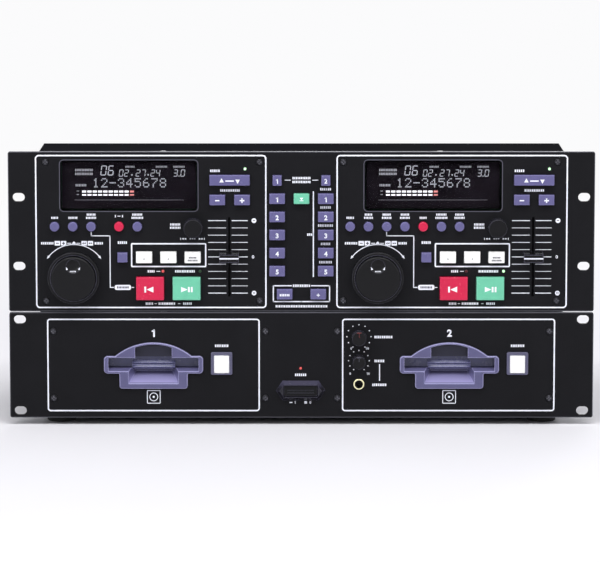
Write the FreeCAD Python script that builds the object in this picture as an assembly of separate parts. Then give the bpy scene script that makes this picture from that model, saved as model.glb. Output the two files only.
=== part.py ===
"""Twin minidisc recorder for a 19 inch rack: a drive unit with two disc slots, and a control
unit with two identical decks of keys standing on it. Millimetres. X runs to the right as seen
from the front, Y to the rear and Z up. The soles of the feet are at Z = 0, and the origin is
under the middle of the whole object."""

import FreeCAD, Part
import math
import os

os.makedirs("parts", exist_ok=True)

# Rack panels
rack_width = 482.6
control_panel_height = 132.5
drive_panel_height = 88.1
panel_thickness = 3.0
panel_corner = 2.0
panel_edge = 0.4
unit_gap = 0.8
rack_slot_inset = 8.75
control_slot_rise = 57.15
drive_slot_rise = 76.2
rack_slot_length = 10.0
rack_slot_width = 7.0

# Sheet metal cases
case_width = 431.0
case_inset = 2.0
drive_depth = 250.0
control_depth = 83.0
sheet = 1.2
sheet_gap = 0.2
skirt_height = 10.0
rail_depth = 12.0
tab_width = 10.0
tab_past_screw = 5.0

# Feet and the pads between the two units
foot_height = 8.0
foot_radius = 12.0
foot_x = 200.0
foot_from_edge = 22.0
foot_edge = 1.0
pad_radius = 8.0
pad_x = 190.0

# Screws
screw_radius = 1.5
screw_hole_radius = 1.6
screw_head_radius = 2.8
screw_head_height = 1.6
screw_recess_gap = 0.4
screw_reach = 3.0
cross_length = 3.2
cross_width = 0.7
cross_depth = 0.9
control_screw_outer_x = 210.45
control_screw_inner_x = 34.45
control_screw_rise = 57.5
drive_screw_outer_x = 205.0
drive_screw_inner_x = 29.75
drive_screw_rise = 28.0
lid_screw_x = 114.0
skirt_screw_inset = 30.0

# Clearances
key_gap = 0.3
seat_gap = 0.3
running_gap = 0.05
fit_gap = 0.2

# Control unit: the two decks and the circuit board behind the panel
deck_x = 125.1
board_front = 13.0
board_thickness = 1.6
board_side_gap = 3.5
board_top_gap = 8.0
post_radius = 2.2
post_outer_x = 209.5
post_outer_z = -15.0
post_inner_x = 36.0
post_inner_z = 30.0
switch_size = 6.0
switch_height = 4.0

# Keys: every cap stands proud of the panel and has a flange behind it
key_proud = 4.0
key_corner = 0.6
key_edge = 0.7
key_flange = 1.0
key_flange_thickness = 1.0
key_stem_radius = 1.6
key_travel = 1.0

# Key sizes
round_key_radius = 3.9
loop_key_size = 8.2
white_key_width = 13.2
white_key_height = 9.4
white_key_space = 6.8
small_key_width = 12.8
small_key_height = 8.6
small_key_space = 6.4
slim_key_width = 7.4
pitch_key_width = 33.0
pitch_key_height = 8.7
bend_key_space = 7.5
program_key_space = 14.9
transport_key_width = 22.9
transport_key_height = 19.0
transport_key_space = 7.2
transport_key_proud = 5.0

# Key places: across from the middle of a deck, up from the middle of the control panel
round_row_z = 4.5
round_key_pitch = 15.0
record_key_x = -25.0
record_key_gap = 23.0
round_keys_left_of_record = {1: 3, 2: 4}
round_keys_right_of_record = {1: 1, 2: 2}
loop_key_x = -22.3
white_row_z = -21.0
first_white_key_x = -4.5
transport_row_z = -46.8
cue_key_x = 0.35
pitch_key_x = 66.1
pitch_key_z = 42.9
bend_row_z = 26.6
preset_column_x = 20.0
preset_row_z = 27.6
slim_row_z = 42.7
program_row_z = -51.6

# Display window and the glowing tube behind it
window_width = 112.3
window_height = 41.0
window_corner = 3.0
window_thickness = 2.0
window_lip = 1.5
window_x = -16.85
window_z = 38.1
tube_width = 96.0
tube_height = 35.0
tube_gap = 1.0

# Pitch fader
fader_x = 65.6
fader_z = -20.9
fader_travel = 60.0
fader_slot_width = 2.4
fader_slot_end = 0.4
fader_body_width = 9.0
fader_body_depth = 9.0
fader_body_end = 4.0
fader_floor = 1.0
lever_width = 1.4
lever_height = 5.0
cap_width = 15.8
cap_height = 8.7
cap_depth = 12.0
cap_waist = 1.2

# Jog dial inside its shuttle ring
jog_x = -62.3
jog_z = -37.3
ring_radius = 21.5
ring_wall = 2.6
ring_height = 11.0
ring_floor = 2.0
ring_edge = 1.0
dial_gap = 0.5
dial_proud = 5.0
dial_edge = 1.6
dimple_radius = 5.8
dimple_depth = 1.8
dimple_rise = 10.6
jog_base_radius = 14.0
jog_neck_radius = 9.0
jog_shaft_radius = 3.0
jog_base_floor = 2.0

# Select knob, which turns and is pushed to enter
select_x = 36.0
select_z = 3.9
select_radius = 7.75
select_height = 12.0
select_stand_off = 2.0
plunger_radius = 2.0
plunger_travel = 0.8
plunger_end = 2.0
encoder_size = 12.0
encoder_height = 6.0

# Turned knobs
knob_edge = 0.8
flute_radius = 0.5
flute_pitch = 2.0
flute_stop = 1.4

# Status lamps of a deck
lamp_radius = 1.1
lamp_proud = 0.4
cue_lamp_x = 10.9
play_lamp_x = 41.5
transport_lamp_z = -32.9
pitch_lamp_x = 78.7
pitch_lamp_z = 51.9

# Disc slot and the bezel around it, from the middle of the slot
slot_x = 122.3
slot_bottom_z = -2.8
slot_top_z = 6.4
slot_half_width = 37.3
bezel_proud = 2.5
bezel_edge = 1.0
bezel_border = 3.7
bezel_wing_top = 1.35
bezel_wing_bottom = 4.1
bezel_arch_half_width = 31.5
bezel_arch_rise = 11.3
bezel_foot_half_width = 28.2
bezel_foot_drop = 16.75
bezel_wing_corner = 3.2
bezel_foot_corner = 2.4
bezel_joint_corner = 1.2
bezel_flange = 1.5
thumb_half_width = 15.2
thumb_depth = 8.0
thumb_rim = 1.5
finger_front_half_width = 20.7
finger_back_half_width = 15.2
finger_rim = 4.0
finger_rise = 8.9
finger_depth = 14.5
lead_in = 2.5

# Slot door, hinged along its top behind the bezel
door_thickness = 1.5
door_setback = 1.0
door_bulge_half_width = 17.6
door_bulge_depth = 4.0
door_bulge_bottom = 1.0
door_bulge_top = 3.2
door_rib_slope = 1.2
door_rib_step = 0.2
door_pin_radius = 1.0
door_pin_reach = 2.5
door_pin_rise = 4.8
door_side_gap = 0.1
housing_wall = 3.0
pocket_gap = 0.4

# Disc loader behind the slot
disc_width = 72.0
disc_depth = 68.0
disc_play = 1.3
loader_wall = 4.0
loader_back_wall = 3.0
loader_floor = 4.2
loader_leg = 9.0
well_width = 40.0
well_depth = 44.0
deck_plate_thickness = 2.0
spindle_radius = 9.0
pickup_width = 24.0
pickup_length = 14.0
guide_rod_radius = 1.5
spindle_setback = 6.0
pickup_setback = 12.0

# Eject buttons, from the middle of their slot
eject_x = 56.3
eject_z = 1.4
eject_bezel_width = 17.8
eject_bezel_height = 18.9
eject_bezel_proud = 2.0
eject_bezel_corner = 1.5
eject_bezel_lip = 0.6
eject_bezel_edge = 0.7
eject_key_width = 12.4
eject_key_height = 14.6
eject_key_drop = 0.6
eject_key_proud = 2.6
eject_travel = 1.5

# How far the sleeves of the eject and mains switch bezels reach behind the panel
sleeve_reach = 2.0

# Mains switch, from the middle of the drive panel
power_x = -0.7
power_z = -21.3
power_bezel_width = 41.0
power_bezel_flat = 30.0
power_bezel_height = 16.5
power_bezel_proud = 4.5
power_bezel_slope = 3.0
power_bezel_lip = 2.0
power_key_width = 28.0
power_key_height = 9.0
power_key_proud = 3.5
power_travel = 3.0
power_lamp_z = -2.8

# Level knobs and headphone jack, from the middle of the drive panel
level_x = 47.5
record_level_z = 23.7
record_level_radius = 6.1
phones_level_z = 3.6
phones_level_radius = 5.5
level_knob_height = 13.0
level_knob_stand_off = 0.6
level_shaft_radius = 3.0
pot_size = 10.0
pot_height = 6.0
pot_floor = 1.0
jack_z = -16.0
jack_hole_radius = 3.2
jack_ring_radius = 4.6
jack_ring_proud = 1.2
jack_sleeve_radius = 4.0
jack_body_size = 12.0
jack_body_depth = 22.0
jack_body_floor = 2.0
jack_ring_edge = 0.5

# Boards and transformer inside the drive unit
front_board_setback = 16.0
front_board_left = -24.0
front_board_right = 72.0
front_board_half_height = 34.0
main_board_width = 380.0
main_board_depth = 110.0
main_board_from_rear = 12.0
main_board_rise = 8.0
board_post_radius = 3.0
board_post_inset = 4.0
chip_size = 28.0
chip_height = 3.0
chip_first_x = -130.0
chip_pitch = 80.0
chip_count = 4
chip_from_front = 35.0
transformer_width = 62.0
transformer_depth = 50.0
transformer_height = 48.0
transformer_setback = 55.0
transformer_yoke = 6.0

# Sockets on the two rear panels
jack_barrel_radius = 4.15
jack_barrel_length = 8.5
jack_barrel_bore = 1.6
jack_barrel_bore_depth = 7.0
phono_pitch = 19.0
phono_row_gap = 18.0
phono_first_x = -150.0
phono_count = 4
phono_z = 5.0
phono_block_margin = 8.0
phono_block_depth = 9.0
link_socket_radius = 6.8
link_socket_bore = 4.6
link_socket_lip = 1.5
link_socket_depth = 12.0
link_socket_well = 8.0
link_socket_x = 18.0
link_shell_wall = 2.0
drive_link_z = -8.0
control_link_z = -40.0
inlet_width = 27.5
inlet_height = 20.0
inlet_x = 165.0
inlet_z = -10.0
inlet_flange = 3.0
inlet_lip = 2.0
inlet_wall = 2.0
inlet_well = 14.0
inlet_pin_setback = 4.0
inlet_pin_width = 2.0
inlet_pin_height = 4.0
inlet_pin_pitch = 7.0
inlet_pin_rise = 2.0

# Ventilation slots in the lid of the drive unit
vent_count = 12
vent_pitch = 7.0
vent_width = 3.0
vent_length = 42.0
vent_x = 105.0
vent_from_rear = 28.0

# Heights that follow from the stack
drive_panel_bottom = foot_height - case_inset
drive_z = drive_panel_bottom + drive_panel_height / 2
drive_case_bottom = foot_height
drive_case_top = drive_panel_bottom + drive_panel_height - case_inset
control_panel_bottom = drive_panel_bottom + drive_panel_height + unit_gap
control_z = control_panel_bottom + control_panel_height / 2
control_case_bottom = control_panel_bottom + case_inset
control_case_top = control_panel_bottom + control_panel_height - case_inset
slot_z = drive_z

# Depths that follow: Y = 0 is the front face of both panels
case_front = panel_thickness
drive_rear = case_front + drive_depth
control_rear = case_front + control_depth
dial_front = -(seat_gap + ring_height + dial_proud)
rear_reach = drive_rear + jack_barrel_length
origin_shift = -(dial_front + rear_reach) / 2


def box(x_low, x_high, y_low, y_high, z_low, z_high):
    """A block between two corners."""
    corner = FreeCAD.Vector(x_low, y_low, z_low)
    return Part.makeBox(x_high - x_low, y_high - y_low, z_high - z_low, corner)


def block(x, z, width, height, y_low, y_high):
    """A block centred on (x, z) that runs from one depth to another."""
    return box(x - width / 2, x + width / 2, y_low, y_high, z - height / 2, z + height / 2)


def disc(x, z, radius, y_low, y_high):
    """A cylinder whose axis runs to the rear."""
    return Part.makeCylinder(radius, y_high - y_low, FreeCAD.Vector(x, y_low, z), FreeCAD.Vector(0, 1, 0))


def upright(x, y, radius, z_low, z_high):
    """A cylinder whose axis runs up."""
    return Part.makeCylinder(radius, z_high - z_low, FreeCAD.Vector(x, y, z_low))


def crosswise(x_low, x_high, y, z, radius):
    """A cylinder whose axis runs to the right."""
    return Part.makeCylinder(radius, x_high - x_low, FreeCAD.Vector(x_low, y, z), FreeCAD.Vector(1, 0, 0))


def rounded(x, z, width, height, corner, y_low, y_high):
    """A block with its four long edges rounded."""
    solid = block(x, z, width, height, y_low, y_high)
    long_edges = [edge for edge in solid.Edges if abs(edge.BoundBox.YLength - (y_high - y_low)) < 1e-6]
    return solid.makeFillet(corner, long_edges)


def prism(points, y_low, y_high):
    """A straight-sided outline in X and Z, carried to the rear."""
    corners = [FreeCAD.Vector(x, y_low, z) for x, z in points]
    face = Part.Face(Part.makePolygon(corners + corners[:1]))
    return face.extrude(FreeCAD.Vector(0, y_high - y_low, 0))


def side_prism(points, x_low, x_high):
    """A straight-sided outline in Y and Z, carried to the right."""
    corners = [FreeCAD.Vector(x_low, y, z) for y, z in points]
    face = Part.Face(Part.makePolygon(corners + corners[:1]))
    return face.extrude(FreeCAD.Vector(x_high - x_low, 0, 0))


def loft(front_points, back_points, y_low, y_high):
    """A straight-sided solid between two outlines with as many corners."""
    front = [FreeCAD.Vector(x, y_low, z) for x, z in front_points]
    back = [FreeCAD.Vector(x, y_high, z) for x, z in back_points]
    wires = [Part.makePolygon(front + front[:1]), Part.makePolygon(back + back[:1])]
    return Part.makeLoft(wires, True, True)


def soften_front(solid, y_front, radius):
    """Rounds the edges that lie in the front face."""
    edges = []
    for edge in solid.Edges:
        bounds = edge.BoundBox
        if abs(bounds.YMin - y_front) < 1e-6 and abs(bounds.YMax - y_front) < 1e-6:
            edges.append(edge)
    return solid.makeFillet(radius, edges)


def join(solids):
    """One solid from several that touch."""
    return solids[0].multiFuse(solids[1:]).removeSplitter()


def group(solids):
    """Several pieces that share a node."""
    return Part.makeCompound(solids)


def deck_centre(deck):
    """Deck 1 is on the left and deck 2 on the right."""
    return -deck_x if deck == 1 else deck_x


def slot_centre(deck):
    """The disc slot of a deck."""
    return -slot_x if deck == 1 else slot_x


def round_key(x, z, proud):
    return {"x": x, "z": z, "radius": round_key_radius, "proud": proud}


def flat_key(x, z, width, height, proud):
    return {"x": x, "z": z, "width": width, "height": height, "proud": proud}


def function_keys(deck):
    """The row of round keys, without the red one."""
    centre = deck_centre(deck)
    z = control_z + round_row_z
    first = record_key_x - {1: record_key_gap, 2: round_key_pitch}[deck]
    left = [first - round_key_pitch * i for i in range(round_keys_left_of_record[deck])]
    right = [record_key_x + round_key_pitch * (i + 1) for i in range(round_keys_right_of_record[deck])]
    return [round_key(centre + x, z, key_proud) for x in left + right]


def record_key(deck):
    return [round_key(deck_centre(deck) + record_key_x, control_z + round_row_z, key_proud)]


def loop_key(deck):
    x = deck_centre(deck) + loop_key_x
    return [flat_key(x, control_z + white_row_z, loop_key_size, loop_key_size, key_proud)]


def white_keys(deck):
    first = deck_centre(deck) + first_white_key_x
    pitch = white_key_width + white_key_space
    z = control_z + white_row_z
    return [flat_key(first + i * pitch, z, white_key_width, white_key_height, key_proud) for i in range(3)]


def cue_key(deck):
    x = deck_centre(deck) + cue_key_x
    z = control_z + transport_row_z
    return [flat_key(x, z, transport_key_width, transport_key_height, transport_key_proud)]


def play_key(deck):
    x = deck_centre(deck) + cue_key_x + transport_key_width + transport_key_space
    z = control_z + transport_row_z
    return [flat_key(x, z, transport_key_width, transport_key_height, transport_key_proud)]


def pitch_key(deck):
    x = deck_centre(deck) + pitch_key_x
    return [flat_key(x, control_z + pitch_key_z, pitch_key_width, pitch_key_height, key_proud)]


def bend_keys(deck):
    """The minus and plus keys under the pitch key."""
    centre = deck_centre(deck) + pitch_key_x
    away = (small_key_width + bend_key_space) / 2
    z = control_z + bend_row_z
    return [flat_key(centre + side * away, z, small_key_width, small_key_height, key_proud)
            for side in (-1, 1)]


def preset_keys(side):
    """Five numbered keys in a column."""
    pitch = small_key_height + small_key_space
    keys = []
    for row in range(5):
        z = control_z + preset_row_z - row * pitch
        keys.append(flat_key(side * preset_column_x, z, small_key_width, small_key_height, key_proud))
    return keys


def deck_keys():
    """The two slim keys that pick a deck."""
    z = control_z + slim_row_z
    return [flat_key(side * preset_column_x, z, slim_key_width, small_key_height, key_proud)
            for side in (-1, 1)]


def load_key():
    return [flat_key(0, control_z + preset_row_z, small_key_width, small_key_height, key_proud)]


def program_keys():
    away = (small_key_width + program_key_space) / 2
    z = control_z + program_row_z
    return [flat_key(side * away, z, small_key_width, small_key_height, key_proud) for side in (-1, 1)]


def control_keys():
    """Every node of keys on the control panel."""
    keys = {}
    for deck in (1, 2):
        keys[f"function_keys_{deck}"] = function_keys(deck)
        keys[f"record_button_{deck}"] = record_key(deck)
        keys[f"loop_button_{deck}"] = loop_key(deck)
        keys[f"hot_start_keys_{deck}"] = white_keys(deck)
        keys[f"cue_button_{deck}"] = cue_key(deck)
        keys[f"play_button_{deck}"] = play_key(deck)
        keys[f"pitch_button_{deck}"] = pitch_key(deck)
        keys[f"pitch_bend_keys_{deck}"] = bend_keys(deck)
    keys["preset_keys_left"] = preset_keys(-1)
    keys["preset_keys_right"] = preset_keys(1)
    keys["deck_keys"] = deck_keys()
    keys["load_button"] = load_key()
    keys["program_keys"] = program_keys()
    return keys


def key_outline(key, margin, y_low, y_high):
    """The key's outline grown by a margin, carried from one depth to another."""
    if "radius" in key:
        return disc(key["x"], key["z"], key["radius"] + margin, y_low, y_high)
    width = key["width"] + 2 * margin
    height = key["height"] + 2 * margin
    return rounded(key["x"], key["z"], width, height, key_corner + max(margin, 0), y_low, y_high)


def key_solid(key):
    """Cap through the panel, flange behind it and stem towards the switch."""
    flange_front = panel_thickness + seat_gap
    flange_back = flange_front + key_flange_thickness
    switch_front = board_front - switch_height
    stem_back = switch_front - key_travel - seat_gap
    cap = soften_front(key_outline(key, 0, -key["proud"], flange_front), -key["proud"], key_edge)
    flange = key_outline(key, key_flange, flange_front, flange_back)
    stem = disc(key["x"], key["z"], key_stem_radius, flange_back, stem_back)
    return join([cap, flange, stem])


def rack_slots(z, rise):
    """The four slots by which a panel is bolted into a rack."""
    slots = []
    for side in (-1, 1):
        for level in (-1, 1):
            x = side * (rack_width / 2 - rack_slot_inset)
            height = z + level * rise / 2
            reach = (rack_slot_length - rack_slot_width) / 2
            ends = [disc(x + end * reach, height, rack_slot_width / 2, -1, panel_thickness + 1)
                    for end in (-1, 1)]
            middle = block(x, height, 2 * reach, rack_slot_width, -1, panel_thickness + 1)
            slots.append(join(ends + [middle]))
    return slots


def panel_screw_places(z, outer_x, inner_x, rise):
    """Where the screws of a front panel sit."""
    columns = [side * x for side in (-1, 1) for x in (outer_x, inner_x)]
    return [(x, z + level * rise) for x in columns for level in (-1, 1)]


def control_panel_screws():
    return panel_screw_places(control_z, control_screw_outer_x, control_screw_inner_x, control_screw_rise)


def drive_panel_screws():
    return panel_screw_places(drive_z, drive_screw_outer_x, drive_screw_inner_x, drive_screw_rise)


def screw_recesses(places):
    """Hole and recess of each panel screw."""
    cutters = []
    for x, z in places:
        cutters.append(disc(x, z, screw_hole_radius, -1, panel_thickness + 1))
        cutters.append(disc(x, z, screw_head_radius + screw_recess_gap, -1, screw_head_height))
    return cutters


def blank_panel(z, height):
    """A rack panel with rounded corners and softened front edges."""
    panel = rounded(0, z, rack_width, height, panel_corner, 0, panel_thickness)
    return soften_front(panel, 0, panel_edge)


def lamp_places():
    """The status lamps of the control panel."""
    places = []
    for deck in (1, 2):
        centre = deck_centre(deck)
        places.append((centre + cue_lamp_x, control_z + transport_lamp_z))
        places.append((centre + play_lamp_x, control_z + transport_lamp_z))
        places.append((centre + pitch_lamp_x, control_z + pitch_lamp_z))
    return places


def through():
    """From just before the panel's face to just behind it."""
    return -1, panel_thickness + 1


def control_front_panel():
    """The upper panel with a hole for each thing that comes through it."""
    low, high = through()
    cutters = rack_slots(control_z, control_slot_rise) + screw_recesses(control_panel_screws())
    for keys in control_keys().values():
        cutters += [key_outline(key, key_gap, low, high) for key in keys]
    cutters += [disc(x, z, lamp_radius + fit_gap, low, high) for x, z in lamp_places()]
    for deck in (1, 2):
        centre = deck_centre(deck)
        width = window_width + 2 * fit_gap
        height = window_height + 2 * fit_gap
        x = centre + window_x
        cutters.append(rounded(x, control_z + window_z, width, height, window_corner + fit_gap, low, high))
        slot_height = fader_travel + lever_height + 2 * fader_slot_end
        x = centre + fader_x
        cutters.append(block(x, control_z + fader_z, fader_slot_width, slot_height, low, high))
        cutters.append(disc(centre + jog_x, control_z + jog_z, jog_neck_radius + fit_gap, low, high))
        cutters.append(disc(centre + select_x, control_z + select_z, plunger_radius + key_gap, low, high))
    return blank_panel(control_z, control_panel_height).cut(cutters)


def drive_front_panel():
    """The lower panel."""
    low, high = through()
    cutters = rack_slots(drive_z, drive_slot_rise) + screw_recesses(drive_panel_screws())
    for deck in (1, 2):
        cutters.append(bezel_outline(slot_centre(deck), fit_gap, low, high))
        cutters.append(eject_bezel_outline(deck, -eject_bezel_lip, low, high))
    cutters.append(power_bezel_outline(-power_bezel_lip + fit_gap, low, high))
    cutters.append(disc(0, drive_z + power_lamp_z, lamp_radius + fit_gap, low, high))
    for z in (record_level_z, phones_level_z):
        cutters.append(disc(level_x, drive_z + z, level_shaft_radius + key_gap, low, high))
    cutters.append(disc(level_x, drive_z + jack_z, jack_sleeve_radius + fit_gap, low, high))
    return blank_panel(drive_z, drive_panel_height).cut(cutters)


def case_body(bottom, top, rear, screw_places):
    """A folded tray with sides, a back, a rail along the top of the front and screw tabs."""
    half = case_width / 2
    under_lid = top - sheet
    solids = [
        box(-half, half, case_front, rear, bottom, bottom + sheet),
        box(-half, -half + sheet, case_front, rear, bottom, under_lid),
        box(half - sheet, half, case_front, rear, bottom, under_lid),
        box(-half, half, rear - sheet, rear, bottom, under_lid),
        box(-half, half, case_front, case_front + rail_depth, under_lid - sheet, under_lid),
    ]
    middle = (bottom + top) / 2
    for x, z in screw_places:
        left = max(x - tab_width / 2, -half)
        right = min(x + tab_width / 2, half)
        if z > middle:
            solids.append(box(left, right, case_front, case_front + sheet, z - tab_past_screw, under_lid))
        else:
            solids.append(box(left, right, case_front, case_front + sheet, bottom, z + tab_past_screw))
    holes = [disc(x, z, screw_hole_radius, case_front - 1, case_front + sheet + 1) for x, z in screw_places]
    holes += [upright(x, y, screw_hole_radius, under_lid - sheet - 1, top) for x, y in lid_screws()]
    holes += [skirt_hole(*place) for place in skirt_screws(top, rear)]
    return join(solids).cut(holes)


def lid_screws():
    """The screws along the front of a lid."""
    return [(side * lid_screw_x, case_front + rail_depth / 2) for side in (-1, 1)]


def skirt_screws(top, rear):
    """Screws through the folded edges of a lid: a point on the skirt's outside and the way in."""
    half = case_width / 2 + sheet_gap + sheet
    back = rear + sheet_gap + sheet
    z = top - skirt_height / 2
    places = []
    for side in (-1, 1):
        for y in (case_front + skirt_screw_inset, rear - skirt_screw_inset):
            places.append((side * half, y, z, -side, 0))
        places.append((side * lid_screw_x, back, z, 0, -1))
    return places


def skirt_hole(x, y, z, in_x, in_y):
    reach = 2 * sheet + sheet_gap + 1
    start = FreeCAD.Vector(x - in_x, y - in_y, z)
    return Part.makeCylinder(screw_hole_radius, reach + 1, start, FreeCAD.Vector(in_x, in_y, 0))


def lid(top, rear):
    """The cover: a plate with folded edges at both sides and the rear."""
    half = case_width / 2 + sheet_gap + sheet
    back = rear + sheet_gap + sheet
    plate = box(-half, half, case_front, back, top - sheet, top)
    left = box(-half, -half + sheet, case_front, back, top - skirt_height, top)
    right = box(half - sheet, half, case_front, back, top - skirt_height, top)
    edge = box(-half, half, back - sheet, back, top - skirt_height, top)
    holes = [upright(x, y, screw_hole_radius, top - sheet - 1, top + 1) for x, y in lid_screws()]
    holes += [skirt_hole(*place) for place in skirt_screws(top, rear)]
    return join([plate, left, right, edge]).cut(holes)


def vent_slots():
    """Two groups of ventilation slots near the rear of the lid."""
    y_high = drive_rear - vent_from_rear
    slots = []
    for side in (-1, 1):
        for i in range(vent_count):
            x = side * vent_x + (i - (vent_count - 1) / 2) * vent_pitch
            ends = [upright(x, y, vent_width / 2, drive_case_top - sheet - 1, drive_case_top + 1)
                    for y in (y_high - vent_length + vent_width / 2, y_high - vent_width / 2)]
            middle = box(x - vent_width / 2, x + vent_width / 2, y_high - vent_length + vent_width / 2,
                         y_high - vent_width / 2, drive_case_top - sheet - 1, drive_case_top + 1)
            slots.append(join(ends + [middle]))
    return slots


def drive_chassis():
    holes = [disc(x, z, jack_barrel_radius + fit_gap, drive_rear - sheet - 1, drive_rear + 1)
             for x, z in phono_places()]
    holes += [disc(x, z, link_socket_radius + fit_gap, drive_rear - sheet - 1, drive_rear + 1)
              for x, z in drive_link_places()]
    width = inlet_width + 2 * fit_gap
    height = inlet_height + 2 * fit_gap
    holes.append(block(inlet_x, drive_z + inlet_z, width, height, drive_rear - sheet - 1, drive_rear + 1))
    return case_body(drive_case_bottom, drive_case_top, drive_rear, drive_panel_screws()).cut(holes)


def control_case():
    holes = [disc(x, z, link_socket_radius + fit_gap, control_rear - sheet - 1, control_rear + 1)
             for x, z in control_link_places()]
    body = case_body(control_case_bottom, control_case_top, control_rear, control_panel_screws())
    return body.cut(holes)


def pan_screw(point, way, length):
    """A cross-head screw: its head stands before the point and its shank goes the given way."""
    way = FreeCAD.Vector(*way)
    point = FreeCAD.Vector(*point)
    head_start = point - way * screw_head_height
    head = Part.makeCylinder(screw_head_radius, screw_head_height, head_start, way)
    rim = [edge for edge in head.Edges if edge.Curve.TypeId == "Part::GeomCircle"
           and abs((edge.Curve.Center - head_start).Length) < 1e-6]
    head = head.makeFillet(screw_head_height / 2, rim)
    shank = Part.makeCylinder(screw_radius, length, point, way)
    across = FreeCAD.Vector(0, 0, 1) if abs(way.z) < 0.5 else FreeCAD.Vector(1, 0, 0)
    bar = Part.makeBox(cross_length, cross_width, cross_depth)
    bar.translate(FreeCAD.Vector(-cross_length / 2, -cross_width / 2, 0))
    turned = bar.copy()
    turned.rotate(FreeCAD.Vector(0, 0, 0), FreeCAD.Vector(0, 0, 1), 90)
    cross = bar.fuse(turned)
    turn = FreeCAD.Rotation(across, across.cross(way) * -1, way, "ZXY")
    cross.Placement = FreeCAD.Placement(head_start, turn)
    return join([head, shank]).cut(cross)


def screws():
    """All screws that show: front panels, lids and the folded edges of the lids."""
    solids = []
    length = panel_thickness - screw_head_height + sheet + screw_reach
    for x, z in control_panel_screws() + drive_panel_screws():
        solids.append(pan_screw((x, screw_head_height, z), (0, 1, 0), length))
    for top, rear in ((control_case_top, control_rear), (drive_case_top, drive_rear)):
        for x, y in lid_screws():
            solids.append(pan_screw((x, y, top), (0, 0, -1), 2 * sheet + screw_reach))
        for x, y, z, in_x, in_y in skirt_screws(top, rear):
            solids.append(pan_screw((x, y, z), (in_x, in_y, 0), 2 * sheet + sheet_gap + screw_reach))
    return group(solids)


def rubber_feet():
    """Four feet under the drive unit, and four pads that carry the control unit on it."""
    solids = []
    for side in (-1, 1):
        for y in (case_front + foot_from_edge, drive_rear - foot_from_edge):
            foot = upright(side * foot_x, y, foot_radius, 0, foot_height)
            sole = [edge for edge in foot.Edges if edge.BoundBox.ZMax < 1e-6]
            solids.append(foot.makeFillet(foot_edge, sole))
        for y in (case_front + foot_from_edge, control_rear - foot_from_edge):
            solids.append(upright(side * pad_x, y, pad_radius, drive_case_top, control_case_bottom))
    return group(solids)


def display_windows():
    """A clear pane flush with the panel, held by a lip behind it."""
    solids = []
    for deck in (1, 2):
        x = deck_centre(deck) + window_x
        z = control_z + window_z
        pane = rounded(x, z, window_width, window_height, window_corner, 0, panel_thickness)
        width = window_width + 2 * window_lip
        height = window_height + 2 * window_lip
        lip_back = panel_thickness + window_thickness
        lip = rounded(x, z, width, height, window_corner, panel_thickness, lip_back)
        solids.append(join([pane, lip]))
    return group(solids)


def control_board():
    """The board behind the upper panel with its posts, switches, encoders and display tubes."""
    half = case_width / 2 - board_side_gap
    z_low = control_case_bottom + board_top_gap
    z_high = control_case_top - board_top_gap
    solids = [box(-half, half, board_front, board_front + board_thickness, z_low, z_high)]
    for side in (-1, 1):
        posts = [(post_outer_x, post_outer_z), (post_inner_x, post_inner_z), (post_inner_x, -post_inner_z)]
        for x, z in posts:
            solids.append(disc(side * x, control_z + z, post_radius, panel_thickness, board_front))
    for keys in control_keys().values():
        for key in keys:
            x = key["x"]
            solids.append(block(x, key["z"], switch_size, switch_size,
                                board_front - switch_height, board_front))
    for deck in (1, 2):
        centre = deck_centre(deck)
        tube_front = panel_thickness + window_thickness + tube_gap
        x = centre + window_x
        solids.append(block(x, control_z + window_z, tube_width, tube_height, tube_front, board_front))
        x = centre + select_x
        z = control_z + select_z
        encoder = block(x, z, encoder_size, encoder_size, board_front - encoder_height, board_front)
        solids.append(encoder)
    board = join(solids)
    bores = []
    for deck in (1, 2):
        x = deck_centre(deck) + select_x
        z = control_z + select_z
        bores.append(disc(x, z, plunger_radius + running_gap, board_front - encoder_height - 1,
                          board_front + board_thickness))
    return board.cut(bores)


def status_lamps():
    """Round lamps that shine through the panels, each on legs from its board."""
    solids = [disc(x, z, lamp_radius, -lamp_proud, board_front) for x, z in lamp_places()]
    solids.append(disc(0, drive_z + power_lamp_z, lamp_radius, -lamp_proud, front_board_setback))
    return group([soften_front(solid, -lamp_proud, lamp_proud) for solid in solids])


def pitch_fader_units():
    """The fader bodies behind the upper panel, open along the lever's travel."""
    solids = []
    for deck in (1, 2):
        x = deck_centre(deck) + fader_x
        z = control_z + fader_z
        height = fader_travel + lever_height + 2 * fader_body_end
        body = block(x, z, fader_body_width, height, panel_thickness, panel_thickness + fader_body_depth)
        track_height = fader_travel + lever_height + 2 * fader_slot_end
        track = block(x, z, lever_width + 2 * key_gap, track_height,
                      panel_thickness - 1, panel_thickness + fader_body_depth - fader_floor)
        solids.append(body.cut(track))
    return solids


def pitch_slider(deck):
    """The cap on its lever: a waisted finger grip with a raised middle line."""
    x = deck_centre(deck) + fader_x
    z = control_z + fader_z
    front = -(seat_gap + cap_depth)
    half = cap_height / 2
    profile = [
        (-seat_gap, z - half), (front, z - half + cap_waist), (front, z - cap_waist / 2),
        (front + cap_waist, z), (front, z + cap_waist / 2), (front, z + half - cap_waist),
        (-seat_gap, z + half),
    ]
    cap = side_prism(profile, x - cap_width / 2, x + cap_width / 2)
    lever = block(x, z, lever_width, lever_height, -seat_gap,
                  panel_thickness + fader_body_depth - fader_floor - seat_gap)
    return join([cap, lever])


def jog_bases():
    """Encoder body behind the panel with a hollow neck that both rings turn on."""
    solids = []
    for deck in (1, 2):
        x = deck_centre(deck) + jog_x
        z = control_z + jog_z
        body = disc(x, z, jog_base_radius, panel_thickness, board_front)
        neck = disc(x, z, jog_neck_radius, -(seat_gap + ring_floor), panel_thickness)
        bore = disc(x, z, jog_shaft_radius + running_gap, -(seat_gap + ring_floor) - 1,
                    board_front - jog_base_floor)
        solids.append(join([body, neck]).cut(bore))
    return solids


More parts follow.
